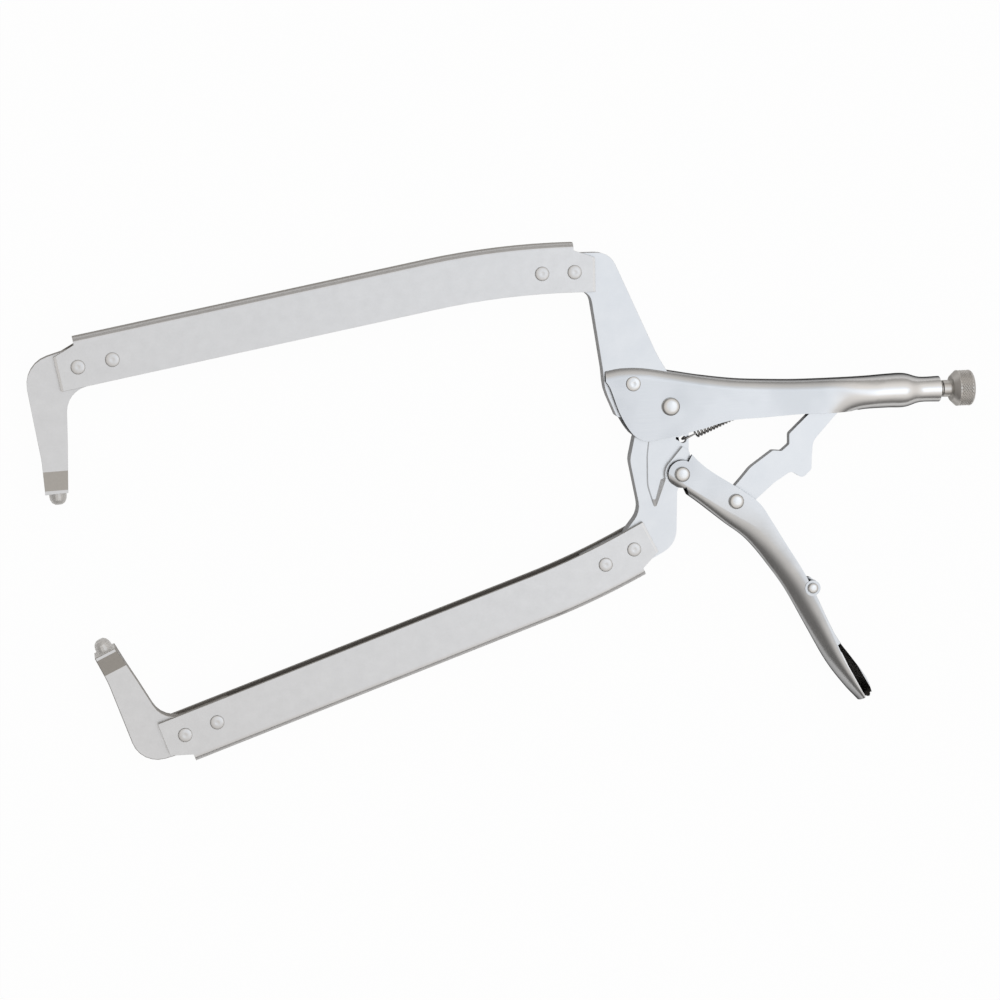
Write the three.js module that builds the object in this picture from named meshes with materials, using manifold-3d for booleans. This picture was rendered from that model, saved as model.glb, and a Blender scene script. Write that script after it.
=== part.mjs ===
// Locking C clamp with long channel arms, lying on its side with the jaws open.
// Lengths are millimetres and angles are degrees. The pieces are laid out round the main jaw pivot: X runs along
// the adjusting screw towards its knob, Y points from the lower arm to the upper arm, and Z runs across the tool.

import * as THREE from "three";
import { mergeVertices } from "three/addons/utils/BufferGeometryUtils.js";
import Module from "manifold-3d";

const wasm = await Module();
wasm.setup();

// Plate, sheet and wire
const jawThickness = 9;
const linkThickness = 5.6;
const leverThickness = 2.4;
const armSheetThickness = 2.5;
const shellSheetThickness = 2.4;
const handleSheetThickness = 2.2;
const springWireDiameter = 1.1;

// Clearances and finish of the faceting
const seatGap = 0.3;
const pivotGap = 0.3;
const threadGap = 0.35;
const cutOverrun = 6;
const weldDistance = 1e-4;
const facetTurn = 15;
const roundSides = 20;
const barSidesPerRadius = 4;

// Linkage: pivot distances, and headings in the open position
const jawCrankLength = 38.8;
const jawCrankHeading = -80.8;
const handleCrankLength = 35;
const handleCrankHeading = -28.3;
const linkLength = 87.5;
const screwAxisHeight = 3.7;
const lockedTravel = 11.7;

// Jaws
const hubRadius = 12.5;
const bossRadius = 8;
const upperJawReach = 41.5;
const upperJawRise = 86.5;
const lowerJawReach = 4;
const lowerJawDrop = 88.9;
const lowerJawFlankWidth = 24;
const panelDepth = 2.5;
const panelBossGap = 1.2;

// Arms
const armDepth = 27.5;
const armBendRadius = 4;
const armRootRun = 12;
const armSweepRadius = 450;
const armSweepSteps = 8;
const armFlankSteps = 1;
const armBendSteps = 4;
const webSetbackLength = 12;
const webEdgeDepth = 4.4;
const flangeCornerDepth = 8.6;
const shankLength = 41;
const shankInsetDepth = 1;
const shankStepDepth = 1.8;
const armRivetSetbackLength = 11.6;
const armRivetPitchLength = 18.8;
const armRivetDepth = 16.4;
const upperArmLength = 302;
const upperArmHeading = 180;
const upperArmTurn = 10.5;
const lowerArmLength = 295;
const lowerArmHeading = 207;
const lowerArmTurn = -7.9;

// Tips
const tipReach = 20.7;
const upperTipDrop = 82.5;
const lowerTipDrop = 76.9;
const upperTipSetLength = 0;
const lowerTipSetLength = 2.2;
const tipLean = 8;
const tipElbowRadius = 16;
const tipCrookRadius = 14;
const padThickness = 16;
const padSlopeLength = 10;
const padLandLength = 1.8;
const nubRadius = 4.7;
const nubHeight = 6.7;
const nubFlatRadius = 2.2;

// Upper handle shell
const noseReach = 36.4;
const shellLength = 193;
const noseRise = 22.6;
const noseDrop = 19.2;
const shellBendRadius = 4.6;
const gripRadius = 9.6;
const noseRivetReach = 21;
const noseRivetRise = 13.4;
const jawSlotReach = 1.4;
const tongueReach = 52;
const tongueLength = 15.5;
const tongueHoleShare = 1.8;
const tongueThickness = 2;

// Lower handle
const handleWidth = 16.4;
const handleBendRadius = 4.2;
const handleReach = 105.8;
const handleDrop = 136.4;
const releasePivotShares = [0.706, -0.498];
const earRadius = 7.8;
const webStartRadius = 11.2;
const handleFlankSteps = 2;
const releaseEarRadius = 4.5;
const releaseEarRise = 0.5;

// Adjusting screw
const screwRadius = 4.5;
const screwTipLength = 2.4;
const knobRadius = 10.1;
const knobLength = 12.3;
const knobGap = 7.1;
const knobChamferLength = 1.6;

// Release lever
const leverWidth = 8.6;
const leverEyeRadius = 3.7;

// Return spring
const springRadius = 2.7;
const springPitch = 1.9;
const springLeadLength = 4.4;
const hookRadius = 3.1;
const hookHoleRadius = 2.1;

// Rivets: shank and head radii
const jawPivotShankRadius = 4;
const jawPivotHeadRadius = 5.1;
const crankPivotShankRadius = 3.2;
const crankPivotHeadRadius = 4.3;
const releasePivotShankRadius = 2.1;
const releasePivotHeadRadius = 3;
const noseRivetShankRadius = 3.1;
const noseRivetHeadRadius = 4.1;
const armRivetShankRadius = 2.9;
const armRivetHeadRadius = 3.9;
const domeShare = 0.46;
const flushHeight = 0.7;

// Finishes
const plated = new THREE.MeshStandardMaterial({ color: 0xd9dcde, roughness: 0.35, metalness: 1 });
const polished = new THREE.MeshStandardMaterial({ color: 0xdfe1e3, roughness: 0.22, metalness: 1 });
const turned = new THREE.MeshStandardMaterial({ color: 0xb9bab8, roughness: 0.4, metalness: 1 });
const wire = new THREE.MeshStandardMaterial({ color: 0x8f9190, roughness: 0.35, metalness: 1 });

const rad = THREE.MathUtils.degToRad;
const xy = (x, y) => new THREE.Vector2(x, y);

// Point at a distance and a heading from another one.
function polar(from, distance, heading) {
  return xy(from.x + distance * Math.cos(rad(heading)), from.y + distance * Math.sin(rad(heading)));
}

// Pivot centres in the open position.
const jawPivot = xy(0, 0);
const handlePivot = polar(jawPivot, jawCrankLength, jawCrankHeading);
const linkPivot = polar(handlePivot, handleCrankLength, handleCrankHeading);
const linkHeading = THREE.MathUtils.radToDeg(Math.asin((screwAxisHeight - linkPivot.y) / linkLength));
const linkEnd = polar(linkPivot, linkLength, linkHeading);
const onHandle = ([x, y]) => xy(handlePivot.x + x * handleReach, handlePivot.y + y * handleDrop);
const releasePivot = onHandle(releasePivotShares);
const noseRivetPoint = xy(-noseRivetReach, noseRivetRise);

// Widths across the tool: the jaws run between cheeks that stand a seat gap off them.
const cheekGap = jawThickness / 2 + seatGap;
const armHalf = cheekGap + armSheetThickness;
const shellHalf = cheekGap + shellSheetThickness;
const handleHalf = cheekGap + handleSheetThickness;
const releaseEarHalf = handleHalf + releaseEarRise;

// A closed geometry as a solid for cutting and joining.
function solidOf(geometry) {
  const bare = geometry.clone();
  bare.deleteAttribute("normal");
  bare.deleteAttribute("uv");
  const merged = mergeVertices(bare, weldDistance);
  return bodyOf(merged.attributes.position.array, [...merged.index.array]);
}

// A solid from vertices and triangles, turned to face outwards when its sweep ran the other way round.
function bodyOf(positions, triangles) {
  const build = (triVerts) =>
    new wasm.Manifold(
      new wasm.Mesh({ numProp: 3, vertProperties: new Float32Array(positions), triVerts: new Uint32Array(triVerts) }),
    );
  const body = build(triangles);
  return body.volume() < 0 ? build(triangles.toReversed()) : body;
}

const clamp = new THREE.Group();

// Names a finished solid and adds it to the clamp.
function addPiece(name, solid, finish) {
  const { vertProperties, triVerts } = solid.getMesh();
  const geometry = new THREE.BufferGeometry();
  geometry.setAttribute("position", new THREE.BufferAttribute(vertProperties, 3));
  geometry.setIndex(new THREE.BufferAttribute(triVerts, 1));
  const flat = geometry.toNonIndexed();
  flat.computeVertexNormals();
  const mesh = new THREE.Mesh(flat, finish);
  mesh.name = name;
  clamp.add(mesh);
}

// Outline through corners, each a point and the radius that rounds it. A radius is limited by the edges it joins.
function rounded(corners) {
  const points = [];
  corners.forEach(([corner, radius], i) => {
    const before = corners.at(i - 1)[0].clone().sub(corner);
    const after = corners[(i + 1) % corners.length][0].clone().sub(corner);
    if (!radius) {
      points.push(corner);
      return;
    }
    const edge = Math.min(before.length(), after.length()) / 2;
    before.normalize();
    after.normalize();
    const halfAngle = Math.acos(THREE.MathUtils.clamp(before.dot(after), -1, 1)) / 2;
    const setback = Math.min(radius / Math.tan(halfAngle), edge);
    const start = corner.clone().addScaledVector(before, setback);
    const end = corner.clone().addScaledVector(after, setback);
    const steps = Math.max(1, Math.ceil((180 - 2 * THREE.MathUtils.radToDeg(halfAngle)) / facetTurn));
    const centre = before
      .add(after)
      .normalize()
      .multiplyScalar(setback / Math.cos(halfAngle))
      .add(corner);
    const first = start.sub(centre);
    const swing = Math.atan2(first.cross(end.sub(centre)), first.dot(end));
    for (let k = 0; k <= steps; k++) {
      const turn = (swing * k) / steps;
      points.push(first.clone().rotateAround(xy(0, 0), turn).add(centre));
    }
  });
  return points;
}

// Flat stamping or forging of even thickness, centred on the tool's middle plane.
function plate(outline, thickness) {
  const geometry = new THREE.ExtrudeGeometry(new THREE.Shape(outline), { depth: thickness, bevelEnabled: false });
  return solidOf(geometry.translate(0, 0, -thickness / 2));
}

// Round bar across the tool.
function bar(centre, radius, length) {
  const sides = Math.max(roundSides, barSidesPerRadius * Math.round(radius));
  const geometry = new THREE.CylinderGeometry(radius, radius, length, sides).rotateX(Math.PI / 2);
  return solidOf(geometry.translate(centre.x, centre.y, 0));
}

// Hole for a rivet's shank through everything.
const shankHole = (centre, shank) => bar(centre, shank + pivotGap, padThickness + 2 * cutOverrun);

// Half of a folded sheet's section, from its free edge to the middle of its web: the middle line of the sheet and its
// outward direction, as distances across the tool and deep from the web's outer face.
function foldedHalf(half, depth, bend, sheet, flankSteps, bendSteps) {
  const across = Math.min(bend.across, half);
  const deep = Math.min(bend.deep, depth);
  const line = [];
  for (let k = 0; k < flankSteps; k++)
    line.push({ z: half - sheet / 2, d: depth + ((deep - depth) * k) / flankSteps, nz: 1, nd: 0 });
  for (let k = 0; k <= bendSteps; k++) {
    const turn = rad((90 * k) / bendSteps);
    const normal = xy(Math.cos(turn) / across, -Math.sin(turn) / deep).normalize();
    line.push({
      z: half - across + (across - sheet / 2) * Math.cos(turn),
      d: deep - (deep - sheet / 2) * Math.sin(turn),
      nz: normal.x,
      nd: normal.y,
    });
  }
  return line;
}

// Same for a sheet rolled into a tube, with a seam left open at the free edges.
function rolledHalf(half, depth, seam, sheet, steps) {
  const line = [];
  const opening = Math.asin(seam / half);
  for (let k = 0; k <= steps; k++) {
    const turn = opening + ((Math.PI - opening) * k) / steps;
    const normal = xy(Math.sin(turn), Math.cos(turn));
    line.push({
      z: (half - sheet / 2) * normal.x,
      d: depth / 2 + (depth / 2 - sheet / 2) * normal.y,
      nz: normal.x,
      nd: normal.y,
    });
  }
  return line;
}

// Blend of two half sections with as many points.
function blended(from, to, share) {
  return from.map((a, k) => {
    const b = to[k];
    const mix = (key) => THREE.MathUtils.lerp(a[key], b[key], share);
    const normal = xy(mix("nz"), mix("nd")).normalize();
    return { z: mix("z"), d: mix("d"), nz: normal.x, nd: normal.y };
  });
}

// Body of a folded sheet through stations. Each has the web's outer point, the direction to the free edges, and half
// a section, which is mirrored to the tool's other side.
function foldedSheet(stations, sheet) {
  const positions = [];
  const triangles = [];
  const quad = (a, b, c, d) => triangles.push(a, b, c, a, c, d);
  const count = 2 * stations[0].half.length - 1;
  for (const { web, inward, half } of stations) {
    const mirrored = half.slice(0, -1).map((p) => ({ ...p, z: -p.z, nz: -p.nz }));
    const section = [...half, ...mirrored.toReversed()];
    for (const side of [1, -1])
      for (const p of section) {
        const z = p.z + (side * p.nz * sheet) / 2;
        const d = p.d + (side * p.nd * sheet) / 2;
        positions.push(web.x + inward.x * d, web.y + inward.y * d, z);
      }
  }
  const at = (station, side, k) => (2 * station + side) * count + k;
  for (let i = 0; i < stations.length - 1; i++) {
    for (let k = 0; k < count - 1; k++) {
      quad(at(i, 0, k), at(i, 0, k + 1), at(i + 1, 0, k + 1), at(i + 1, 0, k));
      quad(at(i, 1, k + 1), at(i, 1, k), at(i + 1, 1, k), at(i + 1, 1, k + 1));
    }
    quad(at(i, 1, 0), at(i, 0, 0), at(i + 1, 0, 0), at(i + 1, 1, 0));
    quad(at(i, 0, count - 1), at(i, 1, count - 1), at(i + 1, 1, count - 1), at(i + 1, 0, count - 1));
  }
  const last = stations.length - 1;
  for (let k = 0; k < count - 1; k++) {
    quad(at(0, 0, k), at(0, 1, k), at(0, 1, k + 1), at(0, 0, k + 1));
    quad(at(last, 0, k + 1), at(last, 1, k + 1), at(last, 1, k), at(last, 0, k));
  }
  return bodyOf(positions, triangles);
}

// Height of a smooth line through points, at a distance along X.
function heightAt(points, x) {
  const i = THREE.MathUtils.clamp(points.findIndex((p) => p.x > x) - 1, 0, points.length - 2);
  const j = points.at(-1).x <= x ? points.length - 2 : i;
  const slope = (k) => {
    const a = points[Math.max(k - 1, 0)];
    const b = points[Math.min(k + 1, points.length - 1)];
    return (b.y - a.y) / (b.x - a.x);
  };
  const span = points[j + 1].x - points[j].x;
  const t = (x - points[j].x) / span;
  const fromStart = t * t * (3 - 2 * t);
  const startPull = t * (1 - t) * (1 - t) * span * slope(j);
  const endPull = t * t * (t - 1) * span * slope(j + 1);
  return THREE.MathUtils.lerp(points[j].y, points[j + 1].y, fromStart) + startPull + endPull;
}

// Frame of an arm. From the jaw end the web runs straight, then round a long sweep, then straight to the tip.
// The function places a point a distance along the web and a depth inside it.
function armFrame(root, heading, turn, side) {
  const sweepLength = Math.abs(rad(turn)) * armSweepRadius;
  return (along, deep) => {
    const run = Math.min(along, armRootRun);
    const swept = THREE.MathUtils.clamp(along - armRootRun, 0, sweepLength);
    const rest = Math.max(along - armRootRun - sweepLength, 0);
    const turned = heading + (turn * swept) / sweepLength;
    const chord = 2 * armSweepRadius * Math.sin(swept / armSweepRadius / 2);
    const sweepStart = polar(root, run, heading);
    const sweepEnd = polar(sweepStart, chord, (heading + turned) / 2);
    return polar(polar(sweepEnd, rest, turned), deep, turned + 90 * side);
  };
}

const shankTop = armBendRadius + seatGap;
const shankBottom = armDepth - shankInsetDepth;
const upperRoot = xy(-upperJawReach, upperJawRise + shankTop + shankStepDepth);
const lowerRoot = xy(-lowerJawReach, -lowerJawDrop);
const upperArm = {
  place: armFrame(upperRoot, upperArmHeading, upperArmTurn, 1),
  length: upperArmLength,
  turn: upperArmTurn,
  tipDrop: upperTipDrop,
  tipSet: upperTipSetLength,
};
const lowerArm = {
  place: armFrame(lowerRoot, lowerArmHeading, lowerArmTurn, -1),
  length: lowerArmLength,
  turn: lowerArmTurn,
  tipDrop: lowerTipDrop,
  tipSet: lowerTipSetLength,
};

// Rivet centres of an arm, two at the jaw end and two at the tip end.
function armRivets({ place, length }) {
  const first = armRivetSetbackLength;
  const second = armRivetSetbackLength + armRivetPitchLength;
  return [first, second, length - second, length - first].map((along) => place(along, armRivetDepth));
}

// Edge of a jaw's shank that lies under the arm's web and follows its sweep, from the shank's end to the web's end.
function shankEdge({ place }, deep) {
  const edge = [];
  for (let k = 0; k <= armBendSteps; k++)
    edge.push([place(THREE.MathUtils.lerp(shankLength, webSetbackLength, k / armBendSteps), deep), 0]);
  return edge;
}

// Arm: a channel folded from sheet. The web is cut back square at both ends and the cheeks' corners are sheared off.
function armChannel(arm) {
  const { place, length, turn } = arm;
  const sweepLength = Math.abs(rad(turn)) * armSweepRadius;
  const alongs = [0];
  for (let k = 0; k <= armSweepSteps; k++) alongs.push(armRootRun + (sweepLength * k) / armSweepSteps);
  alongs.push(length);
  const bend = { across: armBendRadius, deep: armBendRadius };
  const half = foldedHalf(armHalf, armDepth, bend, armSheetThickness, armFlankSteps, armBendSteps);
  const stations = alongs.map((along) => {
    const web = place(along, 0);
    return { web, inward: place(along, 1).sub(web), half };
  });
  let body = foldedSheet(stations, armSheetThickness);
  for (const end of [0, length]) {
    const inwards = end === 0 ? 1 : -1;
    const corner = [
      place(end - inwards * cutOverrun, -cutOverrun),
      place(end + inwards * webSetbackLength, -cutOverrun),
      place(end + inwards * webSetbackLength, webEdgeDepth),
      place(end, flangeCornerDepth),
      place(end - inwards * cutOverrun, flangeCornerDepth),
    ];
    body = body.subtract(plate(corner, 2 * armHalf + cutOverrun));
  }
  for (const centre of armRivets(arm)) body = body.subtract(shankHole(centre, armRivetShankRadius));
  return body;
}

// Upper jaw: a flat forging. Its shank fills the arm's end, its leg runs down into the shell's nose, and its root is
// hollowed round the lower jaw's hub.
const upperLegShares = [
  [-1.2, 1.0, 0],
  [-0.79, 1.0, 0.13],
  [-0.165, 0.335, 0.35],
  [0.02, 0.185, 0],
  [-0.29, -0.056, 0],
  [-0.72, -0.062, 0.03],
  [-0.885, 0.125, 0.3],
  [-0.905, 0.25, 0.3],
  [-1.06, 0.745, 0.09],
];
function upperJaw() {
  const leg = upperLegShares.map(([x, y, round]) => [
    xy(x * upperJawReach, y * upperJawRise),
    round * upperJawRise,
  ]);
  const heel = [upperArm.place(webSetbackLength, shankBottom), 0];
  const heelEnd = [upperArm.place(shankLength, shankBottom), 0];
  const outline = rounded([...shankEdge(upperArm, shankTop), ...leg, heel, heelEnd]);
  let body = plate(outline, jawThickness);
  body = body.subtract(bar(jawPivot, hubRadius + seatGap, jawThickness + cutOverrun));
  body = body.subtract(shankHole(noseRivetPoint, noseRivetShankRadius));
  for (const centre of armRivets(upperArm)) body = body.subtract(shankHole(centre, armRivetShankRadius));
  return body;
}

// Lower jaw: a flat forging with a hub on the main pivot, a boss for the lower handle, and a thinned panel on both
// faces that narrows to a point. The return spring hooks into a hole near the panel's rear edge.
const lowerLeftShares = [
  [-0.31, -0.096, 0],
  [-0.83, -0.179, 0.04],
  [-0.955, -0.333, 0.12],
  [-0.72, -0.661, 0.14],
];
const lowerRightShares = [
  [0.12, -0.88, 0.156],
  [0.155, -0.541, 0.04],
  [0.46, -0.354, 0.03],
  [0.47, -0.104, 0.03],
];
const panelShares = [
  [-0.5, -0.167, 0],
  [-0.565, -0.312, 0.2],
  [-0.565, -0.5, 0.2],
  [-0.375, -0.656, 0.012],
  [-0.13, -0.478, 0.05],
  [-0.03, -0.364, 0],
  [0.3, -0.26, 0],
  [0.7, -0.344, 0],
  [0.7, -0.125, 0],
];
const hookHoleShares = [0.33, -0.217];
const hookHole = xy(hookHoleShares[0] * lowerJawFlankWidth, hookHoleShares[1] * lowerJawDrop);
function lowerJawCorners(shares) {
  return shares.map(([x, y, round]) => [xy(x * lowerJawFlankWidth, y * lowerJawDrop), round * lowerJawDrop]);
}
function lowerJaw() {
  const heel = [lowerArm.place(webSetbackLength, shankBottom), 0];
  const heelEnd = [lowerArm.place(shankLength, shankBottom), 0];
  const toe = [lowerArm.place(webSetbackLength / 2, shankTop + shankStepDepth), 0];
  const outline = rounded([
    ...lowerJawCorners(lowerLeftShares),
    heel,
    heelEnd,
    ...shankEdge(lowerArm, shankTop),
    toe,
    ...lowerJawCorners(lowerRightShares),
  ]);
  let body = plate(outline, jawThickness);
  body = body.add(bar(jawPivot, hubRadius, jawThickness));
  body = body.add(bar(handlePivot, bossRadius, jawThickness));
  let panel = plate(rounded(lowerJawCorners(panelShares)), panelDepth + cutOverrun);
  const keep = jawThickness + 2 * cutOverrun;
  panel = panel.subtract(bar(jawPivot, hubRadius + panelBossGap, keep));
  panel = panel.subtract(bar(handlePivot, bossRadius + panelBossGap, keep));
  const panelOffset = jawThickness / 2 - panelDepth + (panelDepth + cutOverrun) / 2;
  for (const side of [1, -1]) body = body.subtract(panel.translate(0, 0, side * panelOffset));
  body = body.subtract(bar(hookHole, hookHoleRadius, jawThickness + cutOverrun));
  body = body.subtract(shankHole(jawPivot, jawPivotShankRadius));
  body = body.subtract(shankHole(handlePivot, crankPivotShankRadius));
  for (const centre of armRivets(lowerArm)) body = body.subtract(shankHole(centre, armRivetShankRadius));
  return body;
}

// Jaw tip: a forging whose leg turns in towards the other jaw, swells on both faces, and ends in a rounded nub with a
// small flat. The lower arm's one is a little shorter, and set further in. Shares run beyond the arm's end and deep
// inside it.
const tipOuterShares = [
  [0.83, 0.113, 1],
  [0.9, 0.755, 2],
  [1, 0.973, 0],
];
const tipInnerShares = [
  [0.41, 0.99, 0],
  [0.14, 0.68, 2],
];
const crookShares = [-0.13, 0.343];
const nubShares = [0.68, 0.981];
const nubShapeShares = [
  [1, 0.35],
  [0.93, 0.62],
  [0.75, 0.86],
];
function jawTip(arm) {
  const { place, length, tipDrop, tipSet } = arm;
  const at = (along, deep) => place(length + along - (tipSet * deep) / tipDrop, deep);
  const corner = ([along, deep, round]) => [at(along * tipReach, deep * tipDrop), round * tipElbowRadius];
  const outline = rounded([
    [place(length - shankLength, shankTop), 0],
    [place(length - webSetbackLength, shankTop), 0],
    [place(length + shankStepDepth - webSetbackLength, shankTop + shankStepDepth), 0],
    ...tipOuterShares.map(corner),
    ...tipInnerShares.map(corner),
    [at(crookShares[0] * tipReach, crookShares[1] * tipDrop), tipCrookRadius],
    [place(length - shankLength, shankBottom), 0],
  ]);
  const seat = at(nubShares[0] * tipReach, nubShares[1] * tipDrop);
  const down = at(0, 1).sub(at(0, 0));
  const lean = Math.sign(down.cross(at(1, 0).sub(at(0, 0)))) * rad(tipLean);
  down.rotateAround(xy(0, 0), lean);
  const heading = Math.atan2(down.y, down.x) - Math.PI / 2;
  // The pad's profile across the tool and down the leg, from the plate's thickness along the slope to the land.
  const profile = [
    [jawThickness / 2, -tipDrop],
    [jawThickness / 2, -padSlopeLength - padLandLength],
    [padThickness / 2, -padLandLength],
    [padThickness / 2, cutOverrun],
  ];
  const mirrored = profile.map(([across, deep]) => [-across, deep]).toReversed();
  const shape = new THREE.Shape([...profile, ...mirrored].map(([across, deep]) => xy(across, deep)));
  const wide = 2 * shankLength + 2 * tipReach;
  const envelope = new THREE.ExtrudeGeometry(shape, { depth: 2 * wide, bevelEnabled: false });
  envelope.translate(0, 0, -wide).rotateY(Math.PI / 2).rotateZ(heading).translate(seat.x, seat.y, 0);
  const nubProfile = nubShapeShares.map(([r, h]) => xy(r * nubRadius, h * nubHeight));
  const nub = new THREE.LatheGeometry(
    [
      xy(0, -padLandLength),
      xy(nubRadius, -padLandLength),
      ...nubProfile,
      xy(nubFlatRadius, nubHeight),
      xy(0, nubHeight),
    ],
    roundSides,
  );
  nub.rotateZ(heading).translate(seat.x, seat.y, 0);
  let body = plate(outline, padThickness).intersect(solidOf(envelope)).add(solidOf(nub));
  for (const centre of armRivets(arm)) body = body.subtract(shankHole(centre, armRivetShankRadius));
  return body;
}

// Upper handle shell: one sheet folded over the jaws. Its cheeks are flat at the nose; behind the link's slot they
// are rolled round into a grip, and the end is necked down to the adjusting screw.
const noseTopShares = [
  [0, 0.94],
  [0.045, 1.0],
  [0.105, 0.99],
  [0.19, 0.87],
  [0.28, 0.73],
  [0.39, 0.605],
  [0.5, 0.55],
];
const noseBottomShares = [
  [0, 0.78],
  [0.012, 0.6],
  [0.038, -0.12],
  [0.068, -0.66],
  [0.092, -0.9],
  [0.122, -1.0],
  [0.166, -0.94],
  [0.212, -0.84],
  [0.284, -0.69],
  [0.333, -0.55],
  [0.378, -0.46],
  [0.47, -0.42],
];
const gripShares = [
  [0.575, 0.86, 1.12],
  [0.69, 0.87, 1.12],
  [0.775, 0.92, 1.03],
  [0.845, 1.0, 1.0],
  [0.895, 1.0, 1.0],
];
const neckStartShare = 0.94;
const rollStartShare = 0.665;
const rollEndShare = 0.85;
const shellStationShares = [
  0, 0.012, 0.024, 0.038, 0.052, 0.068, 0.09, 0.12, 0.165, 0.22, 0.29, 0.36, 0.43,
  0.5, 0.58, 0.665, 0.7, 0.735, 0.77, 0.81, 0.85, 0.9, 0.92, 0.94, 1,
];
const seamShare = 0.06;
const noseX = -noseReach;
const shellX = (share) => noseX + share * shellLength;
const neckRadius = screwRadius + threadGap + shellSheetThickness;
const shellTop = [
  ...noseTopShares.map(([x, y]) => xy(shellX(x), y * noseRise)),
  ...gripShares.map(([x, up]) => xy(shellX(x), screwAxisHeight + up * gripRadius)),
  xy(shellX(neckStartShare), screwAxisHeight + neckRadius),
  xy(shellX(1), screwAxisHeight + neckRadius),
];
const shellBottom = [
  ...noseBottomShares.map(([x, y]) => xy(shellX(x), y * noseDrop)),
  ...gripShares.map(([x, , down]) => xy(shellX(x), screwAxisHeight - down * gripRadius)),
  xy(shellX(neckStartShare), screwAxisHeight - neckRadius),
  xy(shellX(1), screwAxisHeight - neckRadius),
];
const flankSteps = 5;
const bendSteps = 6;
function upperHandleShell() {
  const stations = shellStationShares.map((share) => {
    const x = shellX(share);
    const top = heightAt(shellTop, x);
    const depth = top - heightAt(shellBottom, x);
    const roll = THREE.MathUtils.smoothstep(share, rollStartShare, rollEndShare);
    const gripHalf = share < rollEndShare ? gripRadius : depth / 2;
    const bend = { across: shellBendRadius, deep: shellBendRadius };
    const folded = foldedHalf(shellHalf, depth, bend, shellSheetThickness, flankSteps, bendSteps);
    const rolled = rolledHalf(gripHalf, depth, seamShare * gripRadius, shellSheetThickness, flankSteps + bendSteps);
    return { web: xy(x, top), inward: xy(0, -1), half: blended(folded, rolled, roll) };
  });
  let body = foldedSheet(stations, shellSheetThickness);
  const slot = [
    xy(noseX - cutOverrun, 0),
    xy(jawSlotReach, 0),
    xy(jawSlotReach, noseRise + cutOverrun),
    xy(noseX - cutOverrun, noseRise + cutOverrun),
  ];
  body = body.subtract(plate(slot, 2 * cheekGap));
  // Tongue pressed down from the web, with a hole for the spring's rear hook.
  const tongueTop = heightAt(shellTop, tongueReach) - shellSheetThickness / 2;
  const tongue = rounded([
    [xy(tongueReach - tongueLength / 2, tongueTop), 0],
    [xy(tongueReach - tongueLength / 2, tongueTop - tongueLength), tongueLength / 3],
    [xy(tongueReach + tongueLength / 2, tongueTop - tongueLength), tongueLength / 3],
    [xy(tongueReach + tongueLength / 2, tongueTop), 0],
  ]);
  body = body.add(plate(tongue, tongueThickness));
  body = body.subtract(bar(tongueHole(), hookHoleRadius, tongueThickness + cutOverrun));
  body = body.subtract(shankHole(jawPivot, jawPivotShankRadius));
  body = body.subtract(shankHole(noseRivetPoint, noseRivetShankRadius));
  return body;
}
function tongueHole() {
  const tongueTop = heightAt(shellTop, tongueReach) - shellSheetThickness / 2;
  return xy(tongueReach, tongueTop - tongueLength + hookHoleRadius * tongueHoleShare);
}

// Lower handle shell: a folded lever with a rounded back. The web starts behind the handle pivot, so that the lower
// jaw passes between two round ears, and the cheeks run out to nothing at the tail. Each row of shares has the web's
// and the free edge's place, then how far the shell has reached its full width, how round its back is across the
// tool, and how much of its depth the bend takes.
const handleRowShares = [
  [-0.129, -0.006, 0.017, 0.109, 0, 0, 0.22],
  [0.06, -0.105, 0.135, 0.02, 0, 0.1, 0.25],
  [0.235, -0.213, 0.32, -0.075, 0, 0.2, 0.3],
  [0.335, -0.272, 0.42, -0.135, 0, 0.35, 0.34],
  [0.4, -0.325, 0.485, -0.21, 0, 0.5, 0.4],
  [0.465, -0.39, 0.57, -0.318, 0, 0.65, 0.44],
  [0.565, -0.5, 0.67, -0.445, 0.1, 0.8, 0.52],
  [0.675, -0.655, 0.77, -0.61, 0.7, 1, 0.68],
  [0.79, -0.815, 0.865, -0.785, 1, 1, 0.85],
  [0.89, -0.92, 0.938, -0.892, 0.8, 1, 0.9],
  [0.972, -0.99, 0.998, -0.972, 0.1, 1, 0.9],
];
const stationsPerRow = 2;
const webFrontTurn = 52;
const earFrontTurn = 43;
function handleStation(step) {
  const at = (column) =>
    heightAt(
      handleRowShares.map((row, i) => xy(i * stationsPerRow, row[column])),
      step,
    );
  const web = onHandle([at(0), at(1)]);
  const inward = onHandle([at(2), at(3)]).sub(web);
  const depth = inward.length();
  const half = THREE.MathUtils.lerp(handleHalf, handleWidth / 2, THREE.MathUtils.clamp(at(4), 0, 1));
  const across = THREE.MathUtils.lerp(handleBendRadius, half, THREE.MathUtils.clamp(at(5), 0, 1));
  const bend = { across, deep: depth * at(6) };
  const section = foldedHalf(half, depth, bend, handleSheetThickness, handleFlankSteps, bendSteps);
  return { web, inward: inward.normalize(), half: section };
}
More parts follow.
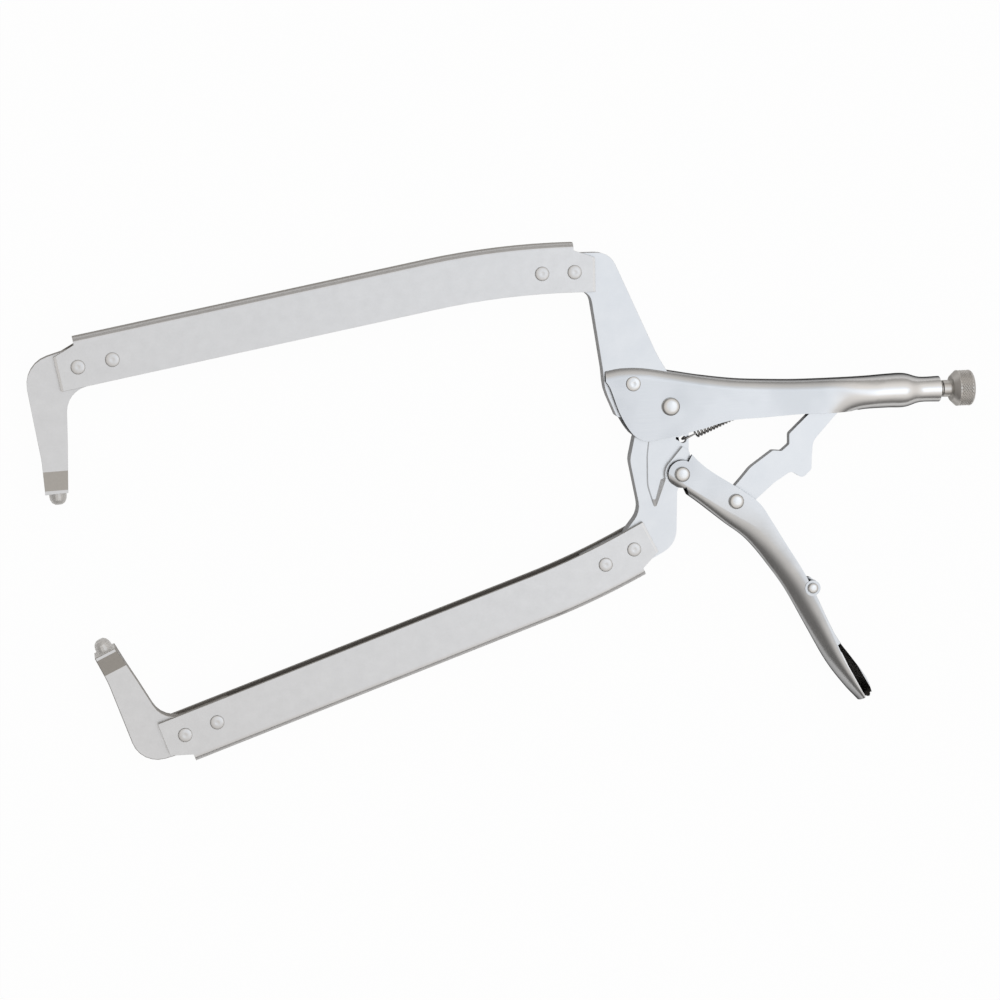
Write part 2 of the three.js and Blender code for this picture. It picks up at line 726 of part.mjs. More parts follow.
function lowerHandleShell() {
  const lastStep = (handleRowShares.length - 1) * stationsPerRow;
  const stations = Array.from({ length: lastStep + 1 }, (_, step) => handleStation(step));
  let body = foldedSheet(stations, handleSheetThickness);
  const broad = handleWidth + 2 * cutOverrun;
  // The front is cut to two ears round the pivot, and the web is cut back from the jaw.
  const front = [
    handlePivot,
    polar(handlePivot, 2 * earRadius, handleCrankHeading + 90),
    polar(handlePivot, 4 * earRadius, handleCrankHeading + 135),
    polar(handlePivot, 4 * earRadius, handleCrankHeading - 135),
    polar(handlePivot, 3 * earRadius, handleCrankHeading - earFrontTurn),
  ];
  body = body.subtract(plate(front, broad).subtract(bar(handlePivot, earRadius, broad)));
  const mouth = [
    polar(handlePivot, 2 * earRadius, handleCrankHeading + 90),
    polar(handlePivot, 3 * earRadius, handleCrankHeading + 180),
    polar(handlePivot, 3 * earRadius, handleCrankHeading - 120),
    polar(polar(handlePivot, webStartRadius, handleCrankHeading - webFrontTurn), earRadius, handleCrankHeading - 90),
    polar(handlePivot, webStartRadius, handleCrankHeading - webFrontTurn),
  ];
  body = body.subtract(plate(mouth, 2 * cheekGap)).subtract(bar(handlePivot, webStartRadius, 2 * cheekGap));
  const ear = bar(releasePivot, releaseEarRadius, 2 * releaseEarHalf);
  body = body.add(ear.subtract(bar(releasePivot, releaseEarRadius + seatGap, 2 * cheekGap)));
  body = body.subtract(shankHole(handlePivot, crankPivotShankRadius));
  body = body.subtract(shankHole(linkPivot, crankPivotShankRadius));
  body = body.subtract(shankHole(releasePivot, releasePivotShankRadius));
  return body;
}

// Toggle link: a flat stamping. Its shares run along the line between its two centres and to the side of it; the toe
// on its lower side comes to rest on the lower handle's web when the tool locks.
const linkShares = [
  [-0.055, 0.055, 0.05],
  [0.13, 0.073, 0.08],
  [0.22, 0.084, 0.1],
  [0.4, 0.062, 0.02],
  [0.44, 0.018, 0.015],
  [0.505, 0.016, 0.015],
  [0.55, 0.066, 0.025],
  [0.73, 0.07, 0.1],
  [0.93, 0.062, 0.06],
  [1.05, 0.05, 0.045],
  [1.05, -0.05, 0.045],
  [0.84, -0.058, 0.1],
  [0.63, -0.078, 0.1],
  [0.555, -0.15, 0.02],
  [0.5, -0.207, 0.03],
  [0.42, -0.207, 0.03],
  [0.395, -0.12, 0.04],
  [0.26, -0.098, 0.06],
  [0.08, -0.094, 0.06],
  [-0.06, -0.05, 0.05],
];
function toggleLink() {
  const outline = rounded(
    linkShares.map(([along, aside, round]) => [
      polar(polar(linkPivot, along * linkLength, linkHeading), aside * linkLength, linkHeading + 90),
      round * linkLength,
    ]),
  );
  return plate(outline, linkThickness).subtract(shankHole(linkPivot, crankPivotShankRadius));
}
const linkEndRadius = 0.05 * linkLength;

// Adjusting screw and its knob, turned in one piece. Its tip stands just beyond the place that the link's end reaches
// when the jaws are closed and locked.
function adjustingScrew() {
  const tip = linkEnd.x + lockedTravel + linkEndRadius + threadGap;
  const shellEnd = shellX(1);
  const knobFace = shellEnd + knobGap;
  const profile = [
    [0, tip],
    [screwRadius / 2, tip],
    [screwRadius, tip + screwTipLength],
    [screwRadius, knobFace],
    [knobRadius - 2 * knobChamferLength, knobFace],
    [knobRadius, knobFace + 2 * knobChamferLength],
    [knobRadius, knobFace + knobLength - knobChamferLength],
    [knobRadius - knobChamferLength, knobFace + knobLength],
    [0, knobFace + knobLength],
  ];
  const geometry = new THREE.LatheGeometry(
    profile.map(([r, h]) => xy(r, h)),
    roundSides,
  );
  geometry.rotateZ(-Math.PI / 2).translate(0, screwAxisHeight, 0);
  return solidOf(geometry);
}

// Release lever: a strip that lies in the lower handle, with an eye on its pivot. Its nose lies under the link's toe,
// and its tail stands out of the handle's end as a thicker thumb pad.
const leverLineShares = [
  [0.567, -0.417],
  [0.64, -0.475],
  [0.71, -0.52],
  [0.775, -0.625],
  [0.84, -0.724],
  [0.925, -0.815],
  [1.0, -0.898],
  [1.03, -0.958],
];
const padOuterShares = [
  [0.875, -0.76],
  [0.909, -0.796],
  [0.963, -0.85],
  [1.008, -0.904],
  [1.033, -0.955],
  [1.034, -0.975],
];
const padInnerShares = [
  [1.022, -0.978],
  [1.012, -0.955],
  [0.975, -0.902],
  [0.935, -0.845],
  [0.885, -0.775],
];
const padSteps = 8;
const leverSteps = 22;
function releaseLever() {
  const line = new THREE.SplineCurve(leverLineShares.map(onHandle));
  const upper = [];
  const lower = [];
  for (let k = 0; k <= leverSteps; k++) {
    const point = line.getPoint(k / leverSteps);
    const tangent = line.getTangent(k / leverSteps);
    const aside = xy(-tangent.y, tangent.x).multiplyScalar(leverThickness / 2);
    upper.push(point.clone().add(aside));
    lower.push(point.sub(aside));
  }
  let body = plate([...upper, ...lower.toReversed()], leverWidth);
  body = body.add(bar(releasePivot, leverEyeRadius, leverWidth));
  const pad = [padOuterShares, padInnerShares].flatMap((shares) =>
    new THREE.SplineCurve(shares.map(onHandle)).getPoints(padSteps),
  );
  body = body.add(plate(pad, leverWidth));
  return body.subtract(shankHole(releasePivot, releasePivotShankRadius));
}

// Rivet across the tool with a head on both sides. A domed head marks a pivot and a flush one a fixed joint.
function rivet(centre, stackHalf, shank, head, isDomed) {
  const seat = stackHalf + seatGap;
  const height = isDomed ? domeShare * head : flushHeight;
  const headShares = isDomed
    ? [
        [1, 0],
        [0.96, 0.32],
        [0.78, 0.68],
        [0.45, 0.93],
        [0, 1],
      ]
    : [
        [1, 0],
        [1, 0.5],
        [0.9, 1],
        [0, 1],
      ];
  const top = [[shank, seat], ...headShares.map(([r, h]) => [r * head, seat + h * height])];
  const bottom = top.map(([r, h]) => [r, -h]).toReversed();
  const geometry = new THREE.LatheGeometry(
    [...bottom, ...top].map(([r, h]) => xy(r, h)),
    roundSides,
  );
  geometry.rotateX(Math.PI / 2).translate(centre.x, centre.y, 0);
  return solidOf(geometry);
}

// Return spring: one unbroken wire. Each end hooks through its hole and runs straight to the close coil between them.
const curlSteps = 8;
const hookSteps = 6;
const wireSides = 5;
const leastSideShare = 0.2;
function springLine() {
  const front = hookHole;
  const rear = tongueHole();
  const axis = rear.clone().sub(front);
  const length = axis.length();
  axis.normalize();
  const aside = xy(-axis.y, axis.x);
  const place = (along, sideways, across) =>
    new THREE.Vector3(
      front.x + axis.x * along + aside.x * sideways,
      front.y + axis.y * along + aside.y * sideways,
      across,
    );
  const coilStart = hookRadius + springLeadLength;
  const coilLength = length - 2 * coilStart;
  const curls = Math.floor(coilLength / springPitch);
  const line = [];
  for (let k = 0; k <= hookSteps; k++) {
    const turn = rad((180 * k) / hookSteps);
    line.push(place(hookRadius * (1 - Math.sin(turn)), 0, -hookRadius * Math.cos(turn)));
  }
  const coil = [];
  const total = curls * curlSteps;
  for (let k = 0; k <= total; k++) {
    const turn = (2 * Math.PI * k) / curlSteps;
    const along = coilStart + (coilLength * k) / total;
    coil.push(place(along, springRadius * Math.sin(turn), springRadius * Math.cos(turn)));
  }
  const rearHook = [];
  for (let k = 0; k <= hookSteps; k++) {
    const turn = rad((180 * k) / hookSteps);
    rearHook.push(place(length - hookRadius * (1 - Math.sin(turn)), 0, hookRadius * Math.cos(turn)));
  }
  return { points: [...line, ...coil, ...rearHook], coil };
}

// Wire of a few sides swept along points, each ring square to the line there.
function wireBody(points, radius) {
  const positions = [];
  const triangles = [];
  let across = new THREE.Vector3(0, 0, 1);
  points.forEach((point, i) => {
    const before = points[Math.max(i - 1, 0)];
    const after = points[Math.min(i + 1, points.length - 1)];
    const tangent = after.clone().sub(before).normalize();
    const out = across.clone().addScaledVector(tangent, -across.dot(tangent));
    if (out.length() < leastSideShare) out.set(tangent.y, -tangent.x, 0);
    out.normalize();
    across = out;
    const side = tangent.clone().cross(out);
    for (let k = 0; k < wireSides; k++) {
      const turn = (2 * Math.PI * k) / wireSides;
      const rim = point
        .clone()
        .addScaledVector(out, radius * Math.cos(turn))
        .addScaledVector(side, radius * Math.sin(turn));
      positions.push(rim.x, rim.y, rim.z);
    }
  });
  const last = points.length - 1;
  for (let i = 0; i < last; i++)
    for (let k = 0; k < wireSides; k++) {
      const next = (k + 1) % wireSides;
      const a = i * wireSides + k;
      const b = i * wireSides + next;
      triangles.push(a, b, b + wireSides, a, b + wireSides, a + wireSides);
    }
  for (let k = 1; k < wireSides - 1; k++) {
    triangles.push(0, k + 1, k);
    triangles.push(last * wireSides, last * wireSides + k, last * wireSides + k + 1);
  }
  return bodyOf(positions, triangles);
}

// Least gap between the wire's surface and itself, over points at least half a curl apart.
function leastGap(coil) {
  let least = Infinity;
  coil.forEach((a, i) => {
    for (let j = i + curlSteps / 2; j < coil.length; j++) least = Math.min(least, a.distanceTo(coil[j]));
  });
  return least - springWireDiameter;
}

addPiece("upper_handle_shell", upperHandleShell(), polished);
addPiece("upper_jaw", upperJaw(), plated);
addPiece("upper_arm_channel", armChannel(upperArm), plated);
addPiece("upper_jaw_tip", jawTip(upperArm), plated);
addPiece("lower_jaw", lowerJaw(), plated);
addPiece("lower_arm_channel", armChannel(lowerArm), plated);
addPiece("lower_jaw_tip", jawTip(lowerArm), plated);
addPiece("lower_handle_shell", lowerHandleShell(), polished);
addPiece("toggle_link", toggleLink(), plated);
addPiece("adjusting_screw", adjustingScrew(), turned);
addPiece("release_lever", releaseLever(), polished);
// Rivets: each with the half width that it clamps.
const domed = true;
const flush = false;
const pivotRivets = [
  ["jaw_pivot_rivet", jawPivot, shellHalf, jawPivotShankRadius, jawPivotHeadRadius, domed],
  ["nose_rivet", noseRivetPoint, shellHalf, noseRivetShankRadius, noseRivetHeadRadius, flush],
  ["handle_pivot_rivet", handlePivot, handleHalf, crankPivotShankRadius, crankPivotHeadRadius, domed],
  ["link_pivot_rivet", linkPivot, handleHalf, crankPivotShankRadius, crankPivotHeadRadius, domed],
  ["release_pivot_rivet", releasePivot, releaseEarHalf, releasePivotShankRadius, releasePivotHeadRadius, domed],
];
for (const [name, ...sizes] of pivotRivets) addPiece(name, rivet(...sizes), plated);
const armRivet = (centre) => rivet(centre, armHalf, armRivetShankRadius, armRivetHeadRadius, flush);
armRivets(upperArm).forEach((centre, i) => addPiece(`upper_arm_rivet_${i + 1}`, armRivet(centre), plated));
armRivets(lowerArm).forEach((centre, i) => addPiece(`lower_arm_rivet_${i + 1}`, armRivet(centre), plated));
const spring = springLine();
addPiece("return_spring", wireBody(spring.points, springWireDiameter / 2), wire);
console.log("return spring, least gap to itself:", leastGap(spring.coil).toFixed(2), "mm");

// The clamp rests on the surface below it, with the frame's origin under the middle of its extents.
const extents = new THREE.Box3().setFromObject(clamp);
const middle = extents.getCenter(new THREE.Vector3());
clamp.position.set(-middle.x, -middle.y, -extents.min.z);

export default clamp;
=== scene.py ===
# Locking C clamp with long channel arms, lying on its side with its jaws open.
import math

import bpy
from mathutils import Matrix, Vector


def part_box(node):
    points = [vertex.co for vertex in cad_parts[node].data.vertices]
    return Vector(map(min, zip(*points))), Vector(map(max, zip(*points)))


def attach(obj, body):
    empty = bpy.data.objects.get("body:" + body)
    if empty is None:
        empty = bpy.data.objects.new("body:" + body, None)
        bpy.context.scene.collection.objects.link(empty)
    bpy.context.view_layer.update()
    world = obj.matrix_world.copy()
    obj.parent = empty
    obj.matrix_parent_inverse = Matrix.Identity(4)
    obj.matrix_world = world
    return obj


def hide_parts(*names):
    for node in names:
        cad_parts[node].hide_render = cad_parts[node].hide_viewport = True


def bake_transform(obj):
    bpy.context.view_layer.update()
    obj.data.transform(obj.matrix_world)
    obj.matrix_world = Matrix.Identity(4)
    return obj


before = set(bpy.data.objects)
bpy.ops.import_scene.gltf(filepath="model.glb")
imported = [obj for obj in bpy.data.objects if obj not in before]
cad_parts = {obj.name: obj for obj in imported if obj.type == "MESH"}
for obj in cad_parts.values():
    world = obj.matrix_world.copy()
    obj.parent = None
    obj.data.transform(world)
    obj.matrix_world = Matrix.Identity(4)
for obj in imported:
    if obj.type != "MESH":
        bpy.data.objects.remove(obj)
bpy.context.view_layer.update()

# ---------------------------------------------------------------------------------------------------------------
# Stage: a plain white floor under one broad soft light that is brightest overhead and falls away all round, so
# that flat faces are light and folds and edges turn grey. The camera looks almost straight down.

def linear(code):
    """Linear light of an sRGB hex colour."""
    channels = [int(code[i:i + 2], 16) / 255 for i in (0, 2, 4)]
    return (*(c / 12.92 if c <= 0.04045 else ((c + 0.055) / 1.055) ** 2.4 for c in channels), 1.0)


def add_node(tree, kind, inputs=(), **settings):
    """Adds a node with its settings, and with its inputs set to values or linked to other nodes' outputs."""
    node = tree.nodes.new(kind)
    for key, value in settings.items():
        setattr(node, key, value)
    for key, value in dict(inputs).items():
        if isinstance(value, bpy.types.NodeSocket):
            tree.links.new(value, node.inputs[key])
        else:
            node.inputs[key].default_value = value
    return node


def new_finish(name):
    """A material, its emptied node tree and the place on the piece in its own coordinates."""
    material = bpy.data.materials.new(name)
    material.use_nodes = True
    tree = material.node_tree
    tree.nodes.clear()
    return material, tree, add_node(tree, "ShaderNodeTexCoord").outputs["Object"]


jaw_pivot_middle = sum(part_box("jaw_pivot_rivet"), Vector()) / 2


def spot(x, y, z=0.0):
    """Point so many millimetres from the middle of the main jaw pivot."""
    return jaw_pivot_middle + Vector((x, y, z)) / 1000


camera_data = bpy.data.cameras.new("camera")
camera_data.sensor_width = 36
camera_data.lens = 103.6
camera_data.clip_end = 30
camera = bpy.data.objects.new("camera", camera_data)
bpy.context.scene.collection.objects.link(camera)
camera_right = Vector((0.987493, -0.019650, 0.156434))
camera_up = Vector((0.041469, 0.989639, -0.137460))
turned_axes = Matrix((camera_right, camera_up, camera_right.cross(camera_up))).transposed()
camera.matrix_world = Matrix.Translation(spot(-339.36, 178.07, 1564.92)) @ turned_axes.to_4x4()
bpy.context.scene.camera = camera
bpy.context.scene.view_settings.view_transform = "Standard"

world = bpy.data.worlds.new("soft_light")
bpy.context.scene.world = world
world.use_nodes = True
sky = world.node_tree
sky.nodes.clear()
brightest_way = Vector((0.28, 0.06, 0.95)).normalized()
way = add_node(sky, "ShaderNodeTexCoord").outputs["Generated"]
facing = add_node(sky, "ShaderNodeVectorMath", {0: way, 1: brightest_way}, operation="DOT_PRODUCT").outputs["Value"]
lobe = add_node(sky, "ShaderNodeMapRange", {
    "Value": facing, "From Min": 0.22, "From Max": 0.93}, interpolation_type="SMOOTHSTEP").outputs["Result"]
side = add_node(sky, "ShaderNodeSeparateXYZ", {0: way}).outputs["Y"]
low_light = add_node(sky, "ShaderNodeMapRange", {
    "Value": side, "From Min": -0.9, "From Max": 0.9, "To Min": 0.2, "To Max": 0.42}).outputs["Result"]
level = add_node(sky, "ShaderNodeMapRange", {
    "Value": lobe, "To Min": low_light, "To Max": 1.04}).outputs["Result"]
falloff = add_node(sky, "ShaderNodeMapRange", {"Value": facing, "From Min": 0.9, "To Min": 0.76}).outputs["Result"]
near = add_node(sky, "ShaderNodeMapRange", {"Value": facing, "From Min": 0.88, "From Max": 0.98}).outputs["Result"]
level = add_node(sky, "ShaderNodeMath", {0: level, 1: falloff}, operation="MULTIPLY").outputs[0]
tint = add_node(sky, "ShaderNodeMix", {0: near, 6: linear("fff9f3"), 7: linear("f5f9ff")}, data_type="RGBA")
glow = add_node(sky, "ShaderNodeBackground", {"Color": tint.outputs[2], "Strength": level})
add_node(sky, "ShaderNodeOutputWorld", {"Surface": glow.outputs[0]})

lamp_data = bpy.data.lights.new("softbox", "AREA")
lamp_data.shape = "RECTANGLE"
lamp_data.size = 1.0
lamp_data.size_y = 0.7
lamp_data.energy = 0.5
lamp = bpy.data.objects.new("softbox", lamp_data)
bpy.context.scene.collection.objects.link(lamp)
lamp.location = (0.75, -0.1, 1.5)
lamp.rotation_euler = Vector(lamp.location).to_track_quat("Z", "Y").to_euler()

bpy.ops.object.select_all(action="DESELECT")
bpy.ops.mesh.primitive_plane_add(size=24, location=(0, 0, -0.0002))
floor = bpy.context.object
floor.name = "floor"
# White matt paper. It shows as white to the camera, and less so in the metal, where it keeps the clamp's shadow.
white_paper, paper, place = new_finish("white_matt_paper")
fibres = add_node(paper, "ShaderNodeTexNoise", {"Vector": place, "Scale": 400.0, "Detail": 3.0}).outputs["Fac"]
tooth = add_node(paper, "ShaderNodeBump", {"Height": fibres, "Strength": 0.03, "Distance": 0.0002}).outputs[0]
matt = add_node(paper, "ShaderNodeBsdfPrincipled", {
    "Base Color": linear("fcfcfc"), "Roughness": 0.9, "Specular IOR Level": 0.1, "Normal": tooth})
white = add_node(paper, "ShaderNodeEmission", {"Color": (1, 1, 1, 1), "Strength": 1.0})
rays = add_node(paper, "ShaderNodeLightPath").outputs
seen = add_node(paper, "ShaderNodeMath", {
    0: rays["Is Camera Ray"], 1: rays["Is Transmission Ray"]}, operation="MAXIMUM")
share = add_node(paper, "ShaderNodeMath", {0: seen.outputs[0], 1: 0.97}, operation="MULTIPLY")
mirrored = add_node(paper, "ShaderNodeMath", {0: rays["Is Glossy Ray"], 1: 0.12}, operation="MULTIPLY")
share = add_node(paper, "ShaderNodeMath", {0: share.outputs[0], 1: mirrored.outputs[0]}, operation="MAXIMUM")
shown = add_node(paper, "ShaderNodeMixShader", {0: share.outputs[0], 1: matt.outputs[0], 2: white.outputs[0]})
add_node(paper, "ShaderNodeOutputMaterial", {"Surface": shown.outputs[0]})
floor.data.materials.append(white_paper)

# ---------------------------------------------------------------------------------------------------------------
# Upper handle shell: one sheet of steel folded over the jaws, then rolled round into the grip and necked down at
# its end. It is pressed, nickel plated and polished. A tongue under its back holds the rear end of the spring.

shell_sheet = 2.4
cheek_gap = 4.8
shell_half = cheek_gap + shell_sheet
nose_x, shell_length = -36.4, 193.0
screw_height, grip_radius = 3.7, 9.6
seam_half = 0.06 * grip_radius
shell_bend, shell_bend_depth = 4.6, 6.6
shell_top = [(0, 21.24), (0.045, 22.6), (0.105, 22.37), (0.19, 19.66), (0.28, 16.5), (0.39, 13.67), (0.5, 12.43),
             (0.575, 11.96), (0.69, 12.05), (0.775, 12.53), (0.845, 13.3), (0.895, 13.3), (0.94, 10.95), (1, 10.95)]
shell_bottom = [(0, 14.98), (0.012, 11.52), (0.038, -2.3), (0.068, -12.67), (0.092, -17.28), (0.122, -19.2),
                (0.166, -18.05), (0.212, -16.13), (0.284, -13.25), (0.333, -10.56), (0.378, -8.83), (0.47, -8.06),
                (0.575, -7.05), (0.69, -7.05), (0.775, -6.19), (0.845, -5.9), (0.895, -5.9), (0.94, -3.55), (1, -3.55)]
roll_start, roll_end = 0.665, 0.85


def smooth_at(points, x):
    """Height at x of a smooth line through points."""
    last = len(points) - 2
    i = min(max(sum(p[0] <= x for p in points) - 1, 0), last)

    def slope(k):
        a, b = points[max(k - 1, 0)], points[min(k + 1, last + 1)]
        return (b[1] - a[1]) / (b[0] - a[0])

    span = points[i + 1][0] - points[i][0]
    t = (x - points[i][0]) / span
    eased = t * t * (3 - 2 * t)
    pull = t * (1 - t) ** 2 * slope(i) + t * t * (t - 1) * slope(i + 1)
    return points[i][1] + (points[i + 1][1] - points[i][1]) * eased + pull * span


def folded_line(half, depth, across, deep, sheet, flank_steps, bend_steps, lean=0.0):
    """Half a folded sheet's section, from its free edge to the middle of its back, as points across and deep with
    the way out from each. Its flank leans in by that share towards the back."""
    across, deep = min(across, half), min(deep, depth)
    outside = [(half, depth + (deep - depth) * k / flank_steps) for k in range(flank_steps)]
    for k in range(bend_steps + 1):
        turn = math.pi / 2 * k / bend_steps
        outside.append((half - across + across * math.cos(turn), deep - deep * math.sin(turn)))
    outside = [Vector((z * (1 - lean * ((depth - d) / depth) ** 2), d)) for z, d in outside]
    line = []
    for k, point in enumerate(outside):
        run = outside[min(k + 1, len(outside) - 1)] - outside[max(k - 1, 0)]
        out = Vector((-run.y, run.x)).normalized() if 0 < k < len(outside) - 1 else Vector(((1, 0), (0, -1))[k > 0])
        line.append((*(point - out * sheet / 2), *out))
    return line


def rolled_line(half, depth, seam, sheet, steps):
    """The same for a sheet rolled into a tube whose seam stays a little open."""
    opening = math.asin(seam / half)
    turns = [opening + (math.pi - opening) * k / steps for k in range(steps + 1)]
    return [((half - sheet / 2) * math.sin(t), depth / 2 + (depth - sheet) / 2 * math.cos(t),
             math.sin(t), math.cos(t)) for t in turns]


def choose(piece):
    """Makes a piece the only one selected, and the active one."""
    bpy.ops.object.select_all(action="DESELECT")
    piece.select_set(True)
    bpy.context.view_layer.objects.active = piece


def face_outwards():
    """Points the active piece's faces outwards."""
    bpy.ops.object.mode_set(mode="EDIT")
    bpy.ops.mesh.select_all(action="SELECT")
    bpy.ops.mesh.normals_make_consistent(inside=False)
    bpy.ops.object.mode_set(mode="OBJECT")


def folded_sheet(name, stations, sheet):
    """A folded sheet through stations, each the back's outer point, the way to the free edges and half a section."""
    rows, columns = len(stations), 2 * len(stations[0][2]) - 1
    bpy.ops.object.select_all(action="DESELECT")
    bpy.ops.mesh.primitive_grid_add(x_subdivisions=columns - 1, y_subdivisions=rows - 1, size=1)
    piece = bpy.context.object
    piece.name = name
    order = sorted(range(rows * columns), key=lambda i: (
        round(piece.data.vertices[i].co.y, 6), round(piece.data.vertices[i].co.x, 6)))
    wall = piece.modifiers.new("sheet_thickness", "SOLIDIFY")
    wall.thickness = sheet / 1000
    bpy.ops.object.modifier_apply(modifier=wall.name)
    for row, (back, inward, half) in enumerate(stations):
        section = half + [(-across, deep, -out, down) for across, deep, out, down in reversed(half[:-1])]
        for k, (across, deep, out, down) in enumerate(section):
            for side, first in ((1, 0), (-1, rows * columns)):
                depth = deep + side * down * sheet / 2
                piece.data.vertices[first + order[row * columns + k]].co = spot(
                    back[0] + inward[0] * depth, back[1] + inward[1] * depth, across + side * out * sheet / 2)
    face_outwards()
    return piece


def block(outline, thickness, z=0.0):
    """A flat block of that outline, millimetres from the main pivot, centred on z across the tool."""
    bpy.ops.object.select_all(action="DESELECT")
    bpy.ops.mesh.primitive_circle_add(vertices=len(outline), radius=1, fill_type="NGON")
    piece = bpy.context.object
    for vertex, (x, y) in zip(piece.data.vertices, outline):
        vertex.co = spot(x, y, z - thickness / 2)
    bpy.ops.object.mode_set(mode="EDIT")
    bpy.ops.mesh.select_all(action="SELECT")
    bpy.ops.mesh.extrude_region_move(TRANSFORM_OT_translate={"value": (0, 0, thickness / 1000)})
    face_outwards()
    return piece


def pin(centre, radius, length, z=0.0, sides=48):
    """A round bar across the tool."""
    bpy.ops.object.select_all(action="DESELECT")
    bpy.ops.mesh.primitive_cylinder_add(vertices=sides, radius=radius / 1000, depth=length / 1000,
                                        location=spot(*centre, z))
    bpy.ops.object.transform_apply(location=True, rotation=True, scale=True)
    return bpy.context.object


def combine(piece, tool, operation="DIFFERENCE"):
    """Cuts a tool out of a piece, or joins it on, and throws the tool away."""
    choose(piece)
    cut = piece.modifiers.new("cut", "BOOLEAN")
    cut.object = tool
    cut.operation = operation
    cut.solver = "EXACT"
    bpy.ops.object.modifier_apply(modifier=cut.name)
    bpy.data.objects.remove(tool)


def finish_edges(piece, edge, weld, steps=2, angle=38):
    """Joins up slivers and rounds the sharp edges. Flat faces stay flat and shallow slopes keep a crisp edge."""
    choose(piece)
    bpy.ops.object.mode_set(mode="EDIT")
    bpy.ops.mesh.select_all(action="SELECT")
    bpy.ops.mesh.remove_doubles(threshold=weld / 1000)
    bpy.ops.mesh.dissolve_degenerate(threshold=weld / 1000)
    bpy.ops.mesh.dissolve_limited(angle_limit=math.radians(0.3))
    bpy.ops.object.mode_set(mode="OBJECT")
    if edge:
        rounding = piece.modifiers.new("rounded_edges", "BEVEL")
        rounding.width = edge / 1000
        rounding.segments = steps
        rounding.limit_method = "ANGLE"
        rounding.angle_limit = math.radians(angle)
        bpy.ops.object.modifier_apply(modifier=rounding.name)
    bpy.ops.object.shade_smooth_by_angle(angle=math.radians(angle))
    beside = {}
    for face in piece.data.polygons:
        for key in face.edge_keys:
            beside.setdefault(key, []).append(face.normal)
    for line in piece.data.edges:
        ways = beside.get(line.key, ())
        if len(ways) == 2 and min(abs(way.z) for way in ways) > 0.8 and ways[0].angle(ways[1]) > math.radians(12):
            line.use_edge_sharp = True
    shading = piece.modifiers.new("flat_faces_stay_flat", "WEIGHTED_NORMAL")
    shading.keep_sharp = True
    bpy.ops.object.modifier_apply(modifier=shading.name)


def fit(piece, material, slot, body, *nodes):
    """Gives a piece its finish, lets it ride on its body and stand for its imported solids."""
    piece.data.materials.clear()
    piece.data.materials.append(material)
    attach(piece, body)
    if nodes:
        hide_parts(*nodes)
    return piece


def eased(value, start, end):
    """0 before the start and 1 after the end, with a smooth way between."""
    t = min(max((value - start) / (end - start), 0), 1)
    return t * t * (3 - 2 * t)


def shell_station(share):
    """The back's outer point, the way to the free edges and half a section, at a share of the shell's length."""
    x = nose_x + share * shell_length
    top = smooth_at([(nose_x + s * shell_length, y) for s, y in shell_top], x)
    depth = top - smooth_at([(nose_x + s * shell_length, y) for s, y in shell_bottom], x)
    grip_half = grip_radius if share < roll_end else depth / 2
    folded = folded_line(shell_half, depth, shell_bend, shell_bend_depth, shell_sheet, 8, 12)
    rolled = rolled_line(grip_half, depth, seam_half, shell_sheet, 20)
    half = []
    for k, (fold, tube) in enumerate(zip(folded, rolled)):
        # The free edges are rolled under sooner than the back is rounded.
        roll = eased(share, roll_start - 0.02 * (1 - k / 20), roll_end - 0.06 * (1 - k / 20))
        across, deep, out, down = (a + (b - a) * roll for a, b in zip(fold, tube))
        way_out = Vector((out, down)).normalized()
        half.append((across, deep, way_out.x, way_out.y))
    return (x, top), (0, -1), half


nose_shares = [0, 0.006, 0.012, 0.018, 0.024, 0.031, 0.038, 0.045, 0.052, 0.06, 0.068, 0.078, 0.09, 0.105, 0.12]
shell = folded_sheet("upper_handle_sheet", [
    shell_station(s) for s in nose_shares + [0.12 + 0.88 * k / 104 for k in range(1, 105)]], shell_sheet)
# The fold is cut away over the jaw, which stands out between the cheeks there.
window_end, window_rise = 1.4, 29
combine(shell, block([(nose_x - 6, 0), (window_end, 0), (window_end, window_rise), (nose_x - 6, window_rise)],
                     2 * cheek_gap))
# The tongue, as points across and down from the middle of its root.
tongue_middle, tongue_reach, tongue_sheet, tongue_hole_radius = 52, 15.5, 2, 2.1
tongue_top = smooth_at([(nose_x + s * shell_length, y) for s, y in shell_top], tongue_middle) - shell_sheet / 2
tongue_hole = (tongue_middle, tongue_top - tongue_reach + 1.8 * tongue_hole_radius)
tongue_side = [(7.7, 0), (7.7, 10.3), (6.7, 13), (4.8, 14.8), (2.6, tongue_reach)]
combine(shell, block([(tongue_middle - across, tongue_top - down) for across, down in tongue_side] +
                     [(tongue_middle + across, tongue_top - down) for across, down in reversed(tongue_side)],
                     tongue_sheet), "UNION")
nose_rivet_middle = (-21, 13.4)
through = 40  # the length of a tool that cuts right through
combine(shell, pin(tongue_hole, tongue_hole_radius, 8))
combine(shell, pin((0, 0), 4.3, through))
combine(shell, pin(nose_rivet_middle, 3.4, through))
# The seam opens where the toggle link comes in between its edges when the jaws close.
combine(shell, block([(93, -9.5), (109, -9.5), (109, -2.6), (93, -2.2)], 6.1))
finish_edges(shell, 0.65, 0.02)


def painted_flank_shade(tree, start=0.7, end=0.2):
    """How far a surface turns from the flat faces to the sides, where the colour is darkened as painted shade."""
    across = add_node(tree, "ShaderNodeSeparateXYZ", {
        0: add_node(tree, "ShaderNodeTexCoord").outputs["Normal"]}).outputs["Z"]
    flat = add_node(tree, "ShaderNodeMath", {0: across}, operation="ABSOLUTE").outputs[0]
    return add_node(tree, "ShaderNodeMapRange", {
        "Value": flat, "From Min": start, "From Max": end}, interpolation_type="SMOOTHSTEP").outputs["Result"]
